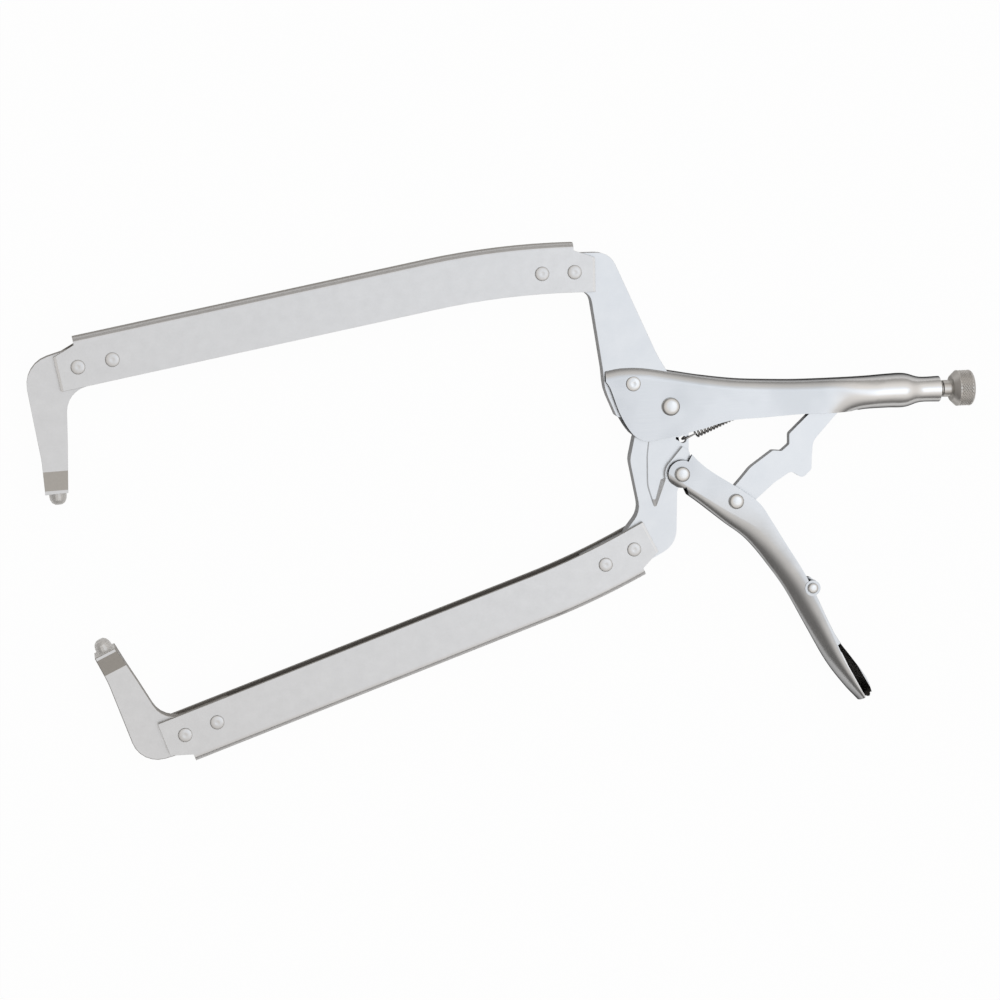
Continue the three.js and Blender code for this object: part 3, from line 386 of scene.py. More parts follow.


# Polished nickel plate over pressed steel: clear soft reflections, broken a little by fine polishing lines that run
# along the handle, and by the faint waviness of a pressed sheet. Broad patches are a little duller, and the upper
# handle's grip is given a paler tone.
polished_nickel, look, place = new_finish("polished_nickel_plate")
lines = add_node(look, "ShaderNodeMapping", {"Vector": place, "Scale": (60, 2600, 2600)}).outputs[0]
polish = add_node(look, "ShaderNodeTexNoise", {"Vector": lines, "Scale": 1.0, "Detail": 4.0}).outputs["Fac"]
waves = add_node(look, "ShaderNodeTexNoise", {"Vector": place, "Scale": 70.0, "Detail": 2.0}).outputs["Fac"]
shine = add_node(look, "ShaderNodeMapRange", {"Value": polish, "To Min": 0.17, "To Max": 0.29}).outputs["Result"]
tone = add_node(look, "ShaderNodeMix", {
    0: polish, 6: linear("d2d4d6"), 7: linear("e3e5e7")}, data_type="RGBA").outputs[2]
patches = add_node(look, "ShaderNodeTexNoise", {"Vector": place, "Scale": 38.0, "Detail": 2.0}).outputs["Fac"]
patches = add_node(look, "ShaderNodeMapRange", {
    "Value": patches, "From Min": 0.4, "From Max": 0.65, "To Max": 0.45}).outputs["Result"]
tone = add_node(look, "ShaderNodeMix", {0: patches, 6: tone, 7: linear("c4c7ca")}, data_type="RGBA").outputs[2]
along = add_node(look, "ShaderNodeSeparateXYZ", {0: place}).outputs["X"]
height = add_node(look, "ShaderNodeSeparateXYZ", {0: place}).outputs["Y"]
# The upper handle's grip, from about 88 mm on and above -20 mm, is given a paler tone.
pale_grip = add_node(look, "ShaderNodeMapRange", {
    "Value": along, "From Min": spot(88, 0).x, "From Max": spot(112, 0).x}, interpolation_type="SMOOTHSTEP")
upper = add_node(look, "ShaderNodeMath", {0: height, 1: spot(0, -20).y}, operation="GREATER_THAN").outputs[0]
pale_grip = add_node(look, "ShaderNodeMath", {0: pale_grip.outputs["Result"], 1: upper}, operation="MULTIPLY").outputs[0]
tone = add_node(look, "ShaderNodeMix", {0: pale_grip, 6: tone, 7: linear("f8f9fa")}, data_type="RGBA").outputs[2]
# Painted shade: the sides are darkened, and the rims that turn edge-on are darker still.
tone = add_node(look, "ShaderNodeMix", {
    0: painted_flank_shade(look), 6: tone, 7: linear("989a9c")}, data_type="RGBA").outputs[2]
tone = add_node(look, "ShaderNodeMix", {
    0: painted_flank_shade(look, 0.42, 0.12), 6: tone, 7: linear("6b6c6d")}, data_type="RGBA").outputs[2]
fine = add_node(look, "ShaderNodeBump", {"Height": polish, "Strength": 0.06, "Distance": 0.00002}).outputs[0]
wavy = add_node(look, "ShaderNodeBump", {"Height": waves, "Strength": 0.10, "Distance": 0.0004, "Normal": fine})
metal = add_node(look, "ShaderNodeBsdfPrincipled", {
    "Base Color": tone, "Metallic": 1.0, "Roughness": shine, "Specular Tint": linear("6e6c6a"),
    "Normal": wavy.outputs[0]})
add_node(look, "ShaderNodeOutputMaterial", {"Surface": metal.outputs[0]})
fit(shell, polished_nickel, "polished_sheet", "upper_handle", "upper_handle_shell")

# ---------------------------------------------------------------------------------------------------------------
# Upper jaw: a flat forging that fills the shell's nose and the arm's end. It is blasted and zinc plated, and its
# trimmed edges are eased.

def from_solid(node, name, edge, weld=0.02, steps=2):
    """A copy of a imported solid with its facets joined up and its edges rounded."""
    bpy.ops.object.select_all(action="DESELECT")
    piece = bpy.data.objects.new(name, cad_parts[node].data.copy())
    bpy.context.scene.collection.objects.link(piece)
    finish_edges(piece, edge, weld, steps)
    return piece


# Bright zinc plate over forged steel: a cool satin with a fine grain that blasting leaves.
bright_zinc, look, place = new_finish("bright_zinc_plate")
grain = add_node(look, "ShaderNodeTexNoise", {"Vector": place, "Scale": 1500.0, "Detail": 3.0}).outputs["Fac"]
cloud = add_node(look, "ShaderNodeTexNoise", {"Vector": place, "Scale": 90.0, "Detail": 4.0}).outputs["Fac"]
shine = add_node(look, "ShaderNodeMapRange", {"Value": cloud, "To Min": 0.27, "To Max": 0.37}).outputs["Result"]
tone = add_node(look, "ShaderNodeMix", {
    0: cloud, 6: linear("dbdee1"), 7: linear("f0f3f6")}, data_type="RGBA").outputs[2]
# Painted shade: the sides are painted darker.
tone = add_node(look, "ShaderNodeMix", {
    0: painted_flank_shade(look), 6: tone, 7: linear("a9abad")}, data_type="RGBA").outputs[2]
bumps = add_node(look, "ShaderNodeBump", {"Height": grain, "Strength": 0.12, "Distance": 0.00006}).outputs[0]
metal = add_node(look, "ShaderNodeBsdfPrincipled", {
    "Base Color": tone, "Metallic": 1.0, "Roughness": shine, "Normal": bumps})
add_node(look, "ShaderNodeOutputMaterial", {"Surface": metal.outputs[0]})
fit(from_solid("upper_jaw", "upper_jaw_forging", 0.8, steps=3), bright_zinc, "plated_steel", "upper_handle",
    "upper_jaw")

# ---------------------------------------------------------------------------------------------------------------
# Upper arm and its tip: a channel folded from thick sheet, riveted over the jaw's shank and over the tip's. The
# sheet keeps its mill grain under the zinc.

# Dull zinc plate over rolled sheet: matt and finely mottled, a little greyer than on the forgings.
dull_zinc, look, place = new_finish("dull_zinc_plate")
grain = add_node(look, "ShaderNodeTexNoise", {"Vector": place, "Scale": 1100.0, "Detail": 2.0}).outputs["Fac"]
cloud = add_node(look, "ShaderNodeTexNoise", {
    "Vector": place, "Scale": 160.0, "Detail": 5.0, "Roughness": 0.6}).outputs["Fac"]
shine = add_node(look, "ShaderNodeMapRange", {"Value": grain, "To Min": 0.30, "To Max": 0.44}).outputs["Result"]
tone = add_node(look, "ShaderNodeMix", {
    0: cloud, 6: linear("dfe0e1"), 7: linear("edeeef")}, data_type="RGBA").outputs[2]
# Painted shade: the sides are painted darker.
tone = add_node(look, "ShaderNodeMix", {
    0: painted_flank_shade(look), 6: tone, 7: linear("a3a09b")}, data_type="RGBA").outputs[2]
bumps = add_node(look, "ShaderNodeBump", {"Height": grain, "Strength": 0.2, "Distance": 0.00008}).outputs[0]
metal = add_node(look, "ShaderNodeBsdfPrincipled", {
    "Base Color": tone, "Metallic": 1.0, "Roughness": shine, "Normal": bumps})
add_node(look, "ShaderNodeOutputMaterial", {"Surface": metal.outputs[0]})


def plain_steel(name, low_tone, high_tone, metal_share, roughness):
    """Bare or thinly plated steel between two tones, with one fine grain."""
    material, look, place = new_finish(name)
    grain = add_node(look, "ShaderNodeTexNoise", {"Vector": place, "Scale": 900.0, "Detail": 3.0}).outputs["Fac"]
    tone = add_node(look, "ShaderNodeMix", {
        0: grain, 6: linear(low_tone), 7: linear(high_tone)}, data_type="RGBA").outputs[2]
    bumps = add_node(look, "ShaderNodeBump", {"Height": grain, "Strength": 0.1, "Distance": 0.00008}).outputs[0]
    metal = add_node(look, "ShaderNodeBsdfPrincipled", {
        "Base Color": tone, "Metallic": metal_share, "Roughness": roughness, "Normal": bumps})
    add_node(look, "ShaderNodeOutputMaterial", {"Surface": metal.outputs[0]})
    return material


# Painted highlight: a pale steel that stands in for the light caught along the arms' sheared ends and the jaw panel's
# right wall.
painted_highlight_steel = plain_steel("painted_highlight_pale_steel", "f2f4f6", "fcfdfe", 0.7, 0.4)
# Painted shade: the inside of a channel is painted dull and grey, where the near flange shadows the far one.
painted_shade_channel = plain_steel("painted_shade_channel_inside", "7d7a76", "918e8a", 0.5, 0.5)
# The slopes under a nub are milled to a satin, and painted darker and warmer as painted shade.
milled_slope_painted_shade = plain_steel("milled_slope_painted_shade_steel", "bbb9b5", "c6c4c0", 1.0, 0.36)
# The nubs are blasted: pale and matt.
blasted_steel = plain_steel("blasted_nub_steel", "e6e6e5", "f2f2f1", 0.75, 0.5)


def paint(piece, material, chosen):
    """Gives another finish to the faces whose middle, millimetres from the main pivot, and normal are chosen."""
    piece.data.materials.append(material)
    for face in piece.data.polygons:
        if chosen((face.center - jaw_pivot_middle) * 1000, face.normal):
            face.material_index = len(piece.data.materials) - 1


ground_length, ground_slope = 1.4, 0.24
inside_reach = 4.85


def arm_sheet(node, name, body, ends):
    """An arm's channel, its sheared ends, each a line and the side the sheet is on, ground down on both faces."""
    arm = from_solid(node, name, 0)
    outside = max(abs(vertex.co.z - jaw_pivot_middle.z) for vertex in arm.data.vertices)
    lines = []
    for first, second, inward in ends:
        first, second = Vector(first), Vector(second)
        along = (second - first).normalized()
        way = Vector((-along.y, along.x)) * inward
        lines.append((first, way))
        corners = [first - along + way * ground_length, first - along - way,
                   second + along - way, second + along + way * ground_length]
        for side in (1, -1):
            grinding = block(corners, 4, side * 9)
            for vertex in grinding.data.vertices:
                place = (vertex.co - jaw_pivot_middle) * 1000
                if side * place.z < 9:
                    depth = ground_slope * (ground_length - (place.xy - first).dot(way))
                    vertex.co.z = jaw_pivot_middle.z + side * (outside - depth / 1000)
            combine(arm, grinding)
    finish_edges(arm, 0.5, 0.02)
    fit(arm, dull_zinc, "plated_steel", body, node)
    # Painted shade: the channel's inner faces are painted dark.
    paint(arm, painted_shade_channel, lambda middle, normal: abs(middle.z) < inside_reach and abs(normal.z) > 0.9)
    # Painted highlight: the ground strips at the sheared ends are painted pale.
    paint(arm, painted_highlight_steel, lambda middle, normal: abs(middle.z) > 6 and 0.7 < abs(normal.z) < 0.99 and any(
        -0.4 < (middle.xy - first).dot(way) < ground_length and normal.xy.normalized().dot(way) < -0.8
        for first, way in lines))


nub_start, slope_start = -6.75, -17


def tip_forging(node, name, body, end, way):
    """A tip, blasted on its nub, which stands on its leg's end along the way given, and milled on the slopes there,
    which are painted darker as painted shade.
    """
    end, way = Vector(end), Vector(way)
    tip = fit(from_solid(node, name, 0.6), dull_zinc, "plated_steel", body, node)
    # Painted shade: the slopes beside the nub are painted darker.
    paint(tip, milled_slope_painted_shade, lambda middle, normal: 0.8 < abs(normal.z) < 0.995 and (
        slope_start < (middle.xy - end).dot(way) < nub_start))
    paint(tip, blasted_steel, lambda middle, normal: (middle.xy - end).dot(way) > nub_start)


arm_sheet("upper_arm_channel", "upper_arm_sheet", "upper_handle", [
    ((-338, 38.8), (-334.6, 20.2), 1), ((-41.5, 84), (-41.5, 65.1), -1)])
tip_forging("upper_jaw_tip", "upper_tip_forging", "upper_handle", (-338.36, -41.59), (0.0436, -0.999))

# ---------------------------------------------------------------------------------------------------------------
# Lower jaw, arm and tip: the same forging, channel and tip on the jaw that turns.

def step_from(point, distance, heading):
    """The place a distance from a point, along a heading in degrees from X."""
    return (point[0] + distance * math.cos(math.radians(heading)),
            point[1] + distance * math.sin(math.radians(heading)))


jaw = from_solid("lower_jaw", "lower_jaw_forging", 0)
handle_pivot = step_from((0, 0), 38.8, -80.8)
panel_floor, hub_radius, boss_radius = 2, 13.9, 9.4
for vertex in jaw.data.vertices:
    # The thinned panel's walls are drafted, as in any forging: its floor is drawn in at its foot and along its left
    # and right wall, but not round the hub and the handle pivot's boss.
    x, y, z = (vertex.co - jaw_pivot_middle) * 1000
    if (abs(abs(z) - panel_floor) < 0.05 and math.hypot(x, y) > hub_radius
            and math.hypot(x - handle_pivot[0], y - handle_pivot[1]) > boss_radius and x < 6):
        drawn = (0, 3.6) if y < -54.5 else (1.3, 0) if x < -9.3 else (-2, 0.8)
        vertex.co += Vector((*drawn, 0)) / 1000
finish_edges(jaw, 0.6, 0.02)
fit(jaw, bright_zinc, "plated_steel", "lower_jaw", "lower_jaw")
# Painted highlight: the panel's right wall is painted pale, as if it caught the light.
paint(jaw, painted_highlight_steel, lambda middle, normal: panel_floor < abs(middle.z) < 4.45 and abs(normal.z) > 0.1 and (
    -9.2 < middle.x < 0 and middle.y > -60) and normal.x < -0.3)
arm_sheet("lower_arm_channel", "lower_arm_sheet", "lower_jaw", [((-16.5, -64.4), (-7.9, -81.2), -1)])
tip_forging("lower_jaw_tip", "lower_tip_forging", "lower_jaw", (-319.36, -117.49), (-0.43, 0.903))

# ---------------------------------------------------------------------------------------------------------------
# Lower handle shell: a folded lever, flat at its two ears and round-backed towards its tail. It is made and
# finished as the upper handle is.

handle_heading = -28.3
link_pivot = step_from(handle_pivot, 35, handle_heading)
handle_reach, handle_drop = 105.8, 136.4
release_pivot = (handle_pivot[0] + 0.706 * handle_reach, handle_pivot[1] - 0.498 * handle_drop)
handle_sheet = 2.2
handle_half, tail_half, crown_half = cheek_gap + handle_sheet, 8.2, 4.2
# Back and free edge as shares of the handle's reach and drop, then how wide and how round it is, how far down its
# flanks the bend runs, and how far the flanks lean in.
handle_rows = [
    (-0.129, -0.006, 0.017, 0.109, 0, 0, 0.22, 0), (0.06, -0.105, 0.135, 0.02, 0, 0.1, 0.25, 0.02),
    (0.235, -0.213, 0.32, -0.075, 0, 0.2, 0.34, 0.12), (0.335, -0.272, 0.42, -0.135, 0, 0.35, 0.42, 0.2),
    (0.4, -0.325, 0.485, -0.21, 0, 0.55, 0.54, 0.3), (0.465, -0.39, 0.57, -0.318, 0, 0.72, 0.66, 0.4),
    (0.565, -0.5, 0.67, -0.445, 0.1, 0.88, 0.8, 0.45), (0.675, -0.655, 0.77, -0.61, 0.7, 1, 0.9, 0.45),
    (0.79, -0.815, 0.865, -0.785, 1, 1, 0.95, 0.42), (0.89, -0.92, 0.938, -0.892, 0.8, 1, 0.95, 0.4),
    (0.972, -0.99, 0.998, -0.972, 0.1, 1, 0.95, 0.34)]


def handle_station(t):
    """The back's outer point, the way to the free edges and half a section, at a row's number or between rows."""
    values = [smooth_at([(i, row[k]) for i, row in enumerate(handle_rows)], t) for k in range(8)]
    back = Vector((handle_pivot[0] + values[0] * handle_reach, handle_pivot[1] + values[1] * handle_drop))
    edge = Vector((handle_pivot[0] + values[2] * handle_reach, handle_pivot[1] + values[3] * handle_drop))
    width, roundness = (min(max(v, 0), 1) for v in values[4:6])
    half = handle_half + (tail_half - handle_half) * width
    across = crown_half + (half - crown_half) * roundness
    depth = (edge - back).length
    return back, (edge - back).normalized(), folded_line(
        half, depth, across, values[6] * depth, handle_sheet, 4, 14, max(values[7], 0))


handle = folded_sheet("lower_handle_sheet", [handle_station(10 * k / 80) for k in range(81)], handle_sheet)
front = block([handle_pivot, step_from(handle_pivot, 17.6, handle_heading + 90),
               step_from(handle_pivot, 35.2, handle_heading + 135),
               step_from(handle_pivot, 35.2, handle_heading - 135),
               step_from(handle_pivot, 23.4, handle_heading - 43)], 30)
combine(front, pin(handle_pivot, 7.8, through, sides=64))
combine(handle, front)
mouth_corner = step_from(handle_pivot, 11.2, handle_heading - 52)
combine(handle, block([step_from(handle_pivot, 17.6, handle_heading + 90),
                       step_from(handle_pivot, 26.4, handle_heading + 180),
                       step_from(handle_pivot, 26.4, handle_heading - 120),
                       step_from(mouth_corner, 8.8, handle_heading - 90), mouth_corner], 2 * cheek_gap))
combine(handle, pin(handle_pivot, 11.2, 2 * cheek_gap, sides=64))
for side in (1, -1):
    combine(handle, pin(release_pivot, 4.5, 2.7, side * 6.15), "UNION")
for centre, radius in ((handle_pivot, 3.5), (link_pivot, 3.5), (release_pivot, 2.4)):
    combine(handle, pin(centre, radius, through))
# Inside, its back is pressed flat as wide as the toggle link, which swings in against it when the jaws close.
swept = [handle_station(t)[:2] for t in (3.4, 3.8, 4.2, 4.6, 5, 5.3, 5.6)]
flat_depth, flat_width = handle_sheet + 0.15, 5.9
combine(handle, block([back + inward * flat_depth for back, inward in swept] +
                      [back + inward * 7 for back, inward in reversed(swept)], flat_width))
finish_edges(handle, 0.5, 0.02)
fit(handle, polished_nickel, "polished_sheet", "lower_handle", "lower_handle_shell")

# ---------------------------------------------------------------------------------------------------------------
# Toggle link: a flat stamping between the lower handle and the screw. Release lever: a strip inside the handle.

fit(from_solid("toggle_link", "toggle_link_stamping", 0.5), bright_zinc, "plated_steel", "toggle_link", "toggle_link")
lever = from_solid("release_lever", "release_lever_strip", 0)
combine(lever, block([(99.5, -144.8), (104.0, -154.2), (108.2, -162), (112.1, -169.2), (113.6, -171.6), (114.5, -170.5),
                      (111, -162), (106.5, -154), (101.5, -145.5)], 8.6), "UNION")
pad_edge, pad_inward = Vector((104.07, -149.5)), Vector((-0.869, -0.496))
pad_half, pad_slope = 4.3, 0.9
for side in (1, -1):
    # The thumb pad is ground off on both faces, down towards the handle.
    grinding = block([(94.5, -142), (100.5, -137.5), (122, -170), (112, -175)], 10, side * 8)
    for vertex in grinding.data.vertices:
        place = (vertex.co - jaw_pivot_middle) * 1000
        if side * place.z < 5:
            inward = (place.xy - pad_edge).dot(pad_inward) + 1.7
            vertex.co.z = jaw_pivot_middle.z + side * (pad_half - pad_slope * inward) / 1000
    combine(lever, grinding)
finish_edges(lever, 0.5, 0.02)
fit(lever, polished_nickel, "polished_sheet", "release_lever", "release_lever")
# Ground steel painted near black as painted shade: the pad's two slopes read as the near-black mark at the handle's
# end.
painted_shade_pad = plain_steel("painted_shade_pad_steel", "403e3d", "5c5a57", 1.0, 0.3)
pad_start = -139
paint(lever, painted_shade_pad, lambda middle, normal: 0.4 < abs(normal.z) < 0.93 and middle.y < pad_start)

# ---------------------------------------------------------------------------------------------------------------
# Adjusting screw: turned from bar with a rolled thread, a plain collar and a knob. The knob's rim is knurled.

def turned(name, profile, sides):
    """A round piece about Z, as turned on a lathe, through (radius, height) points that start and end on the axis."""
    bpy.ops.object.select_all(action="DESELECT")
    radius, height = profile[1]
    bpy.ops.mesh.primitive_circle_add(vertices=sides, radius=radius / 1000, location=(0, 0, height / 1000))
    piece = bpy.context.object
    piece.name = name
    bpy.ops.object.transform_apply(location=True, rotation=True, scale=True)
    bpy.ops.object.mode_set(mode="EDIT")
    bpy.ops.mesh.select_all(action="SELECT")
    for next_radius, next_height in profile[2:-1]:
        bpy.ops.mesh.extrude_region_move(TRANSFORM_OT_translate={"value": (0, 0, (next_height - height) / 1000)})
        bpy.ops.transform.resize(value=(next_radius / radius, next_radius / radius, 1),
                                 center_override=(0, 0, next_height / 1000))
        radius, height = next_radius, next_height
    bpy.ops.mesh.extrude_region_move(TRANSFORM_OT_translate={"value": (0, 0, (profile[-1][1] - height) / 1000)})
    bpy.ops.mesh.merge(type="CENTER")
    bpy.ops.object.mode_set(mode="OBJECT")
    low = min(v.co.z for v in piece.data.vertices)
    for vertex in piece.data.vertices:
        vertex.select = vertex.co.z < low + 1e-7 and vertex.co.xy.length > profile[1][0] / 1000 - 1e-6
    bpy.ops.object.mode_set(mode="EDIT")
    bpy.ops.mesh.extrude_region_move(TRANSFORM_OT_translate={"value": (0, 0, (profile[0][1] - profile[1][1]) / 1000)})
    bpy.ops.mesh.merge(type="CENTER")
    face_outwards()
    return piece


def lay_along_screw(piece, start, smooth_angle):
    """Lays a round piece that was made about Z along the screw's line, its zero at start."""
    piece.rotation_euler = (0, math.pi / 2, 0)
    piece.location = spot(start, screw_height)
    bpy.ops.object.transform_apply(location=True, rotation=True, scale=True)
    bpy.ops.object.shade_smooth_by_angle(angle=math.radians(smooth_angle))


screw_tip = 118.4
collar_start, knob_face, knob_end = 158.6, 163.7, 176.0
knob_radius, knob_sides = 10.1, 64
rim_start, rim_rows, rim_length = knob_face + 3.3, 10, 7.5
screw = turned("adjusting_screw_knob", [
    (0, collar_start), (4.4, collar_start), (4.75, collar_start + 0.35), (4.75, knob_face - 0.2), (5.0, knob_face),
    (6.9, knob_face), (7.3, knob_face + 0.15), (9.7, knob_face + 2.8), (9.95, knob_face + 3.2),
    *((knob_radius, rim_start + rim_length * k / rim_rows) for k in range(rim_rows + 1)),
    (9.95, knob_end - 1.2), (9.7, knob_end - 0.8), (9.3, knob_end - 0.45), (8.8, knob_end - 0.15),
    (8.3, knob_end), (4.2, knob_end), (3.9, knob_end - 0.35),
    (0, knob_end - 0.35)], knob_sides)
# Every second point of the rim is pressed in, which leaves the knurl's diamond points between.
knurl_share = 0.955
for vertex in screw.data.vertices:
    row = round((vertex.co.z * 1000 - rim_start) / rim_length * rim_rows)
    column = round(math.atan2(vertex.co.y, vertex.co.x) / (2 * math.pi) * knob_sides)
    on_rim = 0 < row < rim_rows and abs(vertex.co.xy.length - knob_radius / 1000) < 2e-5
    if on_rim and (row + column) % 2:
        vertex.co.x *= knurl_share
        vertex.co.y *= knurl_share
bpy.ops.object.mode_set(mode="EDIT")
bpy.ops.mesh.select_all(action="SELECT")
bpy.ops.mesh.quads_convert_to_tris(quad_method="SHORTEST_DIAGONAL")
bpy.ops.object.mode_set(mode="OBJECT")
lay_along_screw(screw, 0, 14)

# Satin turned steel under thin nickel: warmer and greyer, with fine tool marks that run round it.
turned_steel, look, place = new_finish("turned_nickel_steel")
marks = add_node(look, "ShaderNodeMapping", {"Vector": place, "Scale": (5200, 240, 240)}).outputs[0]
tooling = add_node(look, "ShaderNodeTexNoise", {"Vector": marks, "Scale": 1.0, "Detail": 3.0}).outputs["Fac"]
shine = add_node(look, "ShaderNodeMapRange", {"Value": tooling, "To Min": 0.26, "To Max": 0.42}).outputs["Result"]
tone = add_node(look, "ShaderNodeMix", {
    0: tooling, 6: linear("d6d4d1"), 7: linear("e8e6e3")}, data_type="RGBA").outputs[2]
# Painted shade: the sides are painted darker.
tone = add_node(look, "ShaderNodeMix", {
    0: painted_flank_shade(look), 6: tone, 7: linear("bfbdb9")}, data_type="RGBA").outputs[2]
ridges = add_node(look, "ShaderNodeBump", {"Height": tooling, "Strength": 0.15, "Distance": 0.00004}).outputs[0]
metal = add_node(look, "ShaderNodeBsdfPrincipled", {
    "Base Color": tone, "Metallic": 1.0, "Roughness": shine, "Normal": ridges})
add_node(look, "ShaderNodeOutputMaterial", {"Surface": metal.outputs[0]})
fit(screw, turned_steel, "turned_steel", "adjusting_screw", "adjusting_screw")

# The thread: one tooth's edge wound round the shank, closed by a plain core that fills its ends.
thread_pitch, thread_start = 1.5, screw_tip + 2.4
turns = int((collar_start - thread_start) / thread_pitch)
bpy.ops.object.select_all(action="DESELECT")
bpy.ops.mesh.primitive_circle_add(vertices=5, radius=0.001)
thread = bpy.context.object
thread.name = "adjusting_screw_thread"
for vertex, (radius, along) in zip(thread.data.vertices, (
        (3.2, 0), (3.75, 0.18), (4.42, 0.62), (4.42, 0.88), (3.75, 1.32))):
    vertex.co = (radius / 1000, 0, along / 1000)
bpy.ops.object.mode_set(mode="EDIT")
bpy.ops.mesh.select_all(action="SELECT")
bpy.ops.mesh.edge_face_add()
bpy.ops.object.mode_set(mode="OBJECT")
winding = thread.modifiers.new("wound_round", "SCREW")
winding.angle = 2 * math.pi * turns
winding.screw_offset = thread_pitch / 1000 * turns
winding.steps = winding.render_steps = 24 * turns
winding.use_normal_calculate = True
bpy.ops.object.modifier_apply(modifier=winding.name)
face_outwards()
lay_along_screw(thread, thread_start, 38)
fit(thread, turned_steel, "turned_steel", "adjusting_screw", "adjusting_screw")
core = turned("adjusting_screw_core", [
    (0, screw_tip), (2.25, screw_tip), (3.75, screw_tip + 1.9), (3.8, collar_start + 0.3), (0, collar_start + 0.3)], 48)
lay_along_screw(core, 0, 38)
fit(core, turned_steel, "turned_steel", "adjusting_screw", "adjusting_screw")

# ---------------------------------------------------------------------------------------------------------------
# Rivets: domed heads mark the pivots, and low pressed heads with a dimple hold the arms and the nose. They are
# headed cold and plated with the rest.

# Plated rivet heads: smooth, with a soft sheen and slight dull spots from the heading tool.
rivet_plate, look, place = new_finish("plated_rivet_head")
spots = add_node(look, "ShaderNodeTexNoise", {"Vector": place, "Scale": 700.0, "Detail": 3.0}).outputs["Fac"]
shine = add_node(look, "ShaderNodeMapRange", {"Value": spots, "To Min": 0.14, "To Max": 0.22}).outputs["Result"]
tone = add_node(look, "ShaderNodeMix", {
    0: spots, 6: linear("e2e3e3"), 7: linear("eeefef")}, data_type="RGBA").outputs[2]
dents = add_node(look, "ShaderNodeBump", {"Height": spots, "Strength": 0.05, "Distance": 0.00004}).outputs[0]
metal = add_node(look, "ShaderNodeBsdfPrincipled", {
    "Base Color": tone, "Metallic": 1.0, "Roughness": shine, "Normal": dents})
add_node(look, "ShaderNodeOutputMaterial", {"Surface": metal.outputs[0]})

domed_head = [(1, 0), (1, 0.2), (0.99, 0.38), (0.96, 0.54), (0.91, 0.67), (0.84, 0.77), (0.74, 0.855), (0.62, 0.92),
              (0.47, 0.962), (0.3, 0.988), (0.15, 0.998), (0, 1)]
pressed_head = [(1, 0), (0.995, 0.2), (0.97, 0.38), (0.92, 0.54), (0.84, 0.68), (0.74, 0.8), (0.62, 0.9), (0.5, 0.965),
                (0.4, 1.0), (0.3, 0.97), (0.18, 0.88), (0.08, 0.84), (0, 0.83)]


domed_rise_share, pressed_rise = 0.46, 0.7


def rivet(node, shank, head_shape, body, finish=rivet_plate):
    """A rivet with the same head on both sides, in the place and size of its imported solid."""
    low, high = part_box(node)
    head = (high.x - low.x) * 500
    rise = domed_rise_share * head if head_shape is domed_head else pressed_rise
    seat = (high.z - low.z) * 500 - rise
    side = [(radius * head, seat + height * rise) for radius, height in head_shape]
    profile = [(radius, -height) for radius, height in reversed(side)] + [(shank, -seat), (shank, seat)] + side
    piece = turned(node + "_turned", profile, 48)
    piece.location = (low + high) / 2
    bpy.ops.object.transform_apply(location=True, rotation=True, scale=True)
    bpy.ops.object.shade_smooth_by_angle(angle=math.radians(35))
    return fit(piece, finish, "plated_steel", body, node)


rivet("jaw_pivot_rivet", 4, domed_head, "upper_handle")
rivet("nose_rivet", 3.1, pressed_head, "upper_handle")
rivet("handle_pivot_rivet", 3.2, domed_head, "lower_handle")
rivet("link_pivot_rivet", 3.2, domed_head, "lower_handle")
rivet("release_pivot_rivet", 2.1, domed_head, "lower_handle")
for number in (1, 2, 3, 4):
    rivet(f"upper_arm_rivet_{number}", 2.9, pressed_head, "upper_handle", dull_zinc)
    rivet(f"lower_arm_rivet_{number}", 2.9, pressed_head, "lower_jaw", dull_zinc)

# ---------------------------------------------------------------------------------------------------------------
# Return spring: close-wound wire with an open hook at each end, one through the lower jaw and one through the
# shell's tongue. It opens the jaws.

wire_radius, coil_radius, coil_pitch, hook_radius, lead = 0.55, 2.7, 1.9, 3.1, 4.4
hook_hole = Vector((7.92, -19.2913))
spring_way = Vector(tongue_hole) - hook_hole
spring_length = spring_way.length
spring_way.normalize()
coil_start = hook_radius + lead
coil_length = spring_length - 2 * coil_start
curls = math.floor(coil_length / coil_pitch)


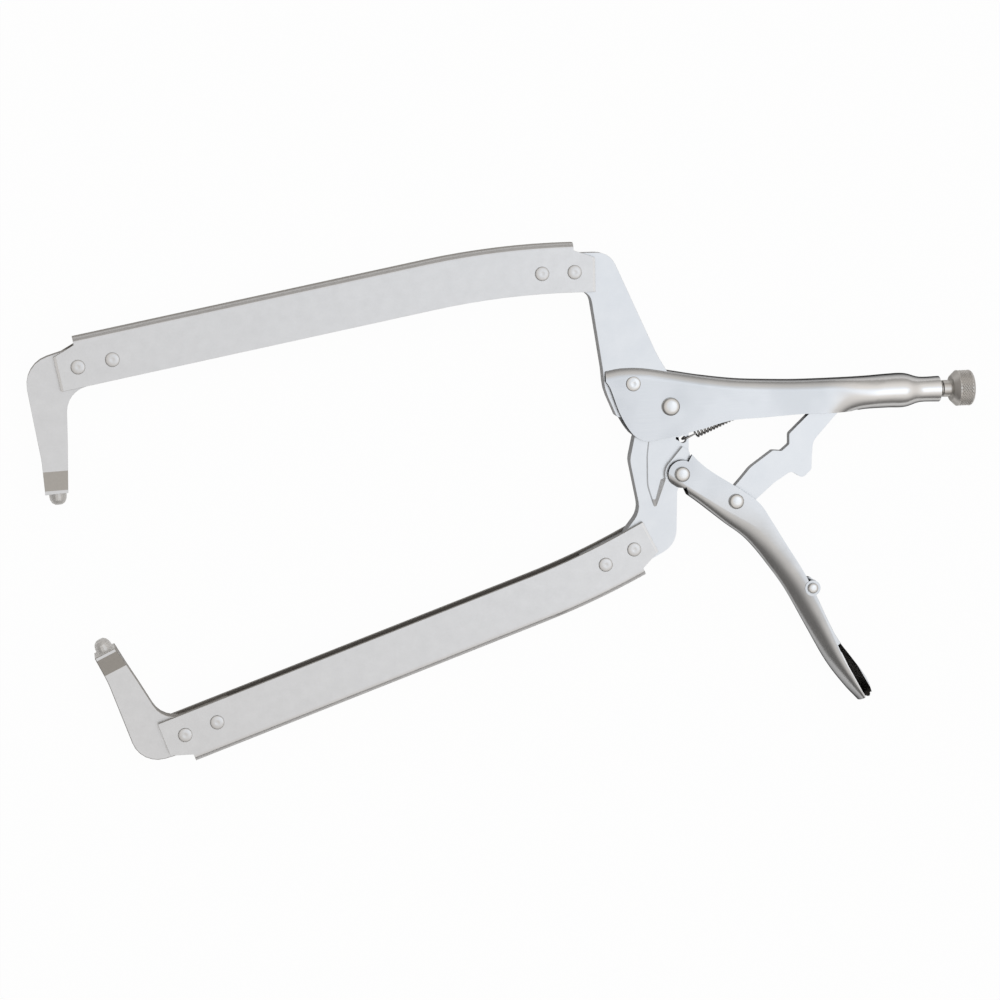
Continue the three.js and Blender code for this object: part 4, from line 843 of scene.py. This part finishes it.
def on_spring(along, sideways, across):
    """A place on the spring, counted from its hole in the lower jaw towards the tongue's."""
    return (hook_hole.x + spring_way.x * along - spring_way.y * sideways,
            hook_hole.y + spring_way.y * along + spring_way.x * sideways, across)


hook_turns = [math.pi * k / 18 for k in range(19)]
line = [on_spring(hook_radius * (1 - math.sin(turn)), 0, -hook_radius * math.cos(turn)) for turn in hook_turns]
for k in range(curls * 24 + 1):
    turn = 2 * math.pi * k / 24
    line.append(on_spring(coil_start + coil_length * k / (curls * 24), coil_radius * math.sin(turn),
                          coil_radius * math.cos(turn)))
for turn in hook_turns:
    line.append(on_spring(spring_length - hook_radius * (1 - math.sin(turn)), 0, hook_radius * math.cos(turn)))
wire_data = bpy.data.curves.new("return_spring_wire", "CURVE")
wire_data.dimensions = "3D"
wire_data.bevel_depth = wire_radius / 1000
wire_data.bevel_resolution = 3
wire_data.use_fill_caps = True
run = wire_data.splines.new("POLY")
run.points.add(len(line) - 1)
for point, (x, y, z) in zip(run.points, line):
    point.co = (*spot(x, y, z), 1)
spring = bpy.data.objects.new("return_spring_wire", wire_data)
bpy.context.scene.collection.objects.link(spring)
choose(spring)
bpy.ops.object.convert(target="MESH")
spring = bpy.context.object
bpy.ops.object.shade_smooth_by_angle(angle=math.radians(60))

# Drawn spring wire: greyer than the plated pieces, and a little uneven, as drawing leaves it.
spring_wire, look, place = new_finish("drawn_spring_wire")
drawn = add_node(look, "ShaderNodeTexNoise", {"Vector": place, "Scale": 1300.0, "Detail": 3.0}).outputs["Fac"]
shine = add_node(look, "ShaderNodeMapRange", {"Value": drawn, "To Min": 0.22, "To Max": 0.4}).outputs["Result"]
tone = add_node(look, "ShaderNodeMix", {
    0: drawn, 6: linear("a3a2a0"), 7: linear("c4c3c1")}, data_type="RGBA").outputs[2]
metal = add_node(look, "ShaderNodeBsdfPrincipled", {"Base Color": tone, "Metallic": 1.0, "Roughness": shine})
add_node(look, "ShaderNodeOutputMaterial", {"Surface": metal.outputs[0]})
spring.data.materials.clear()
spring.data.materials.append(spring_wire)
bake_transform(spring)
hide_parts("return_spring")
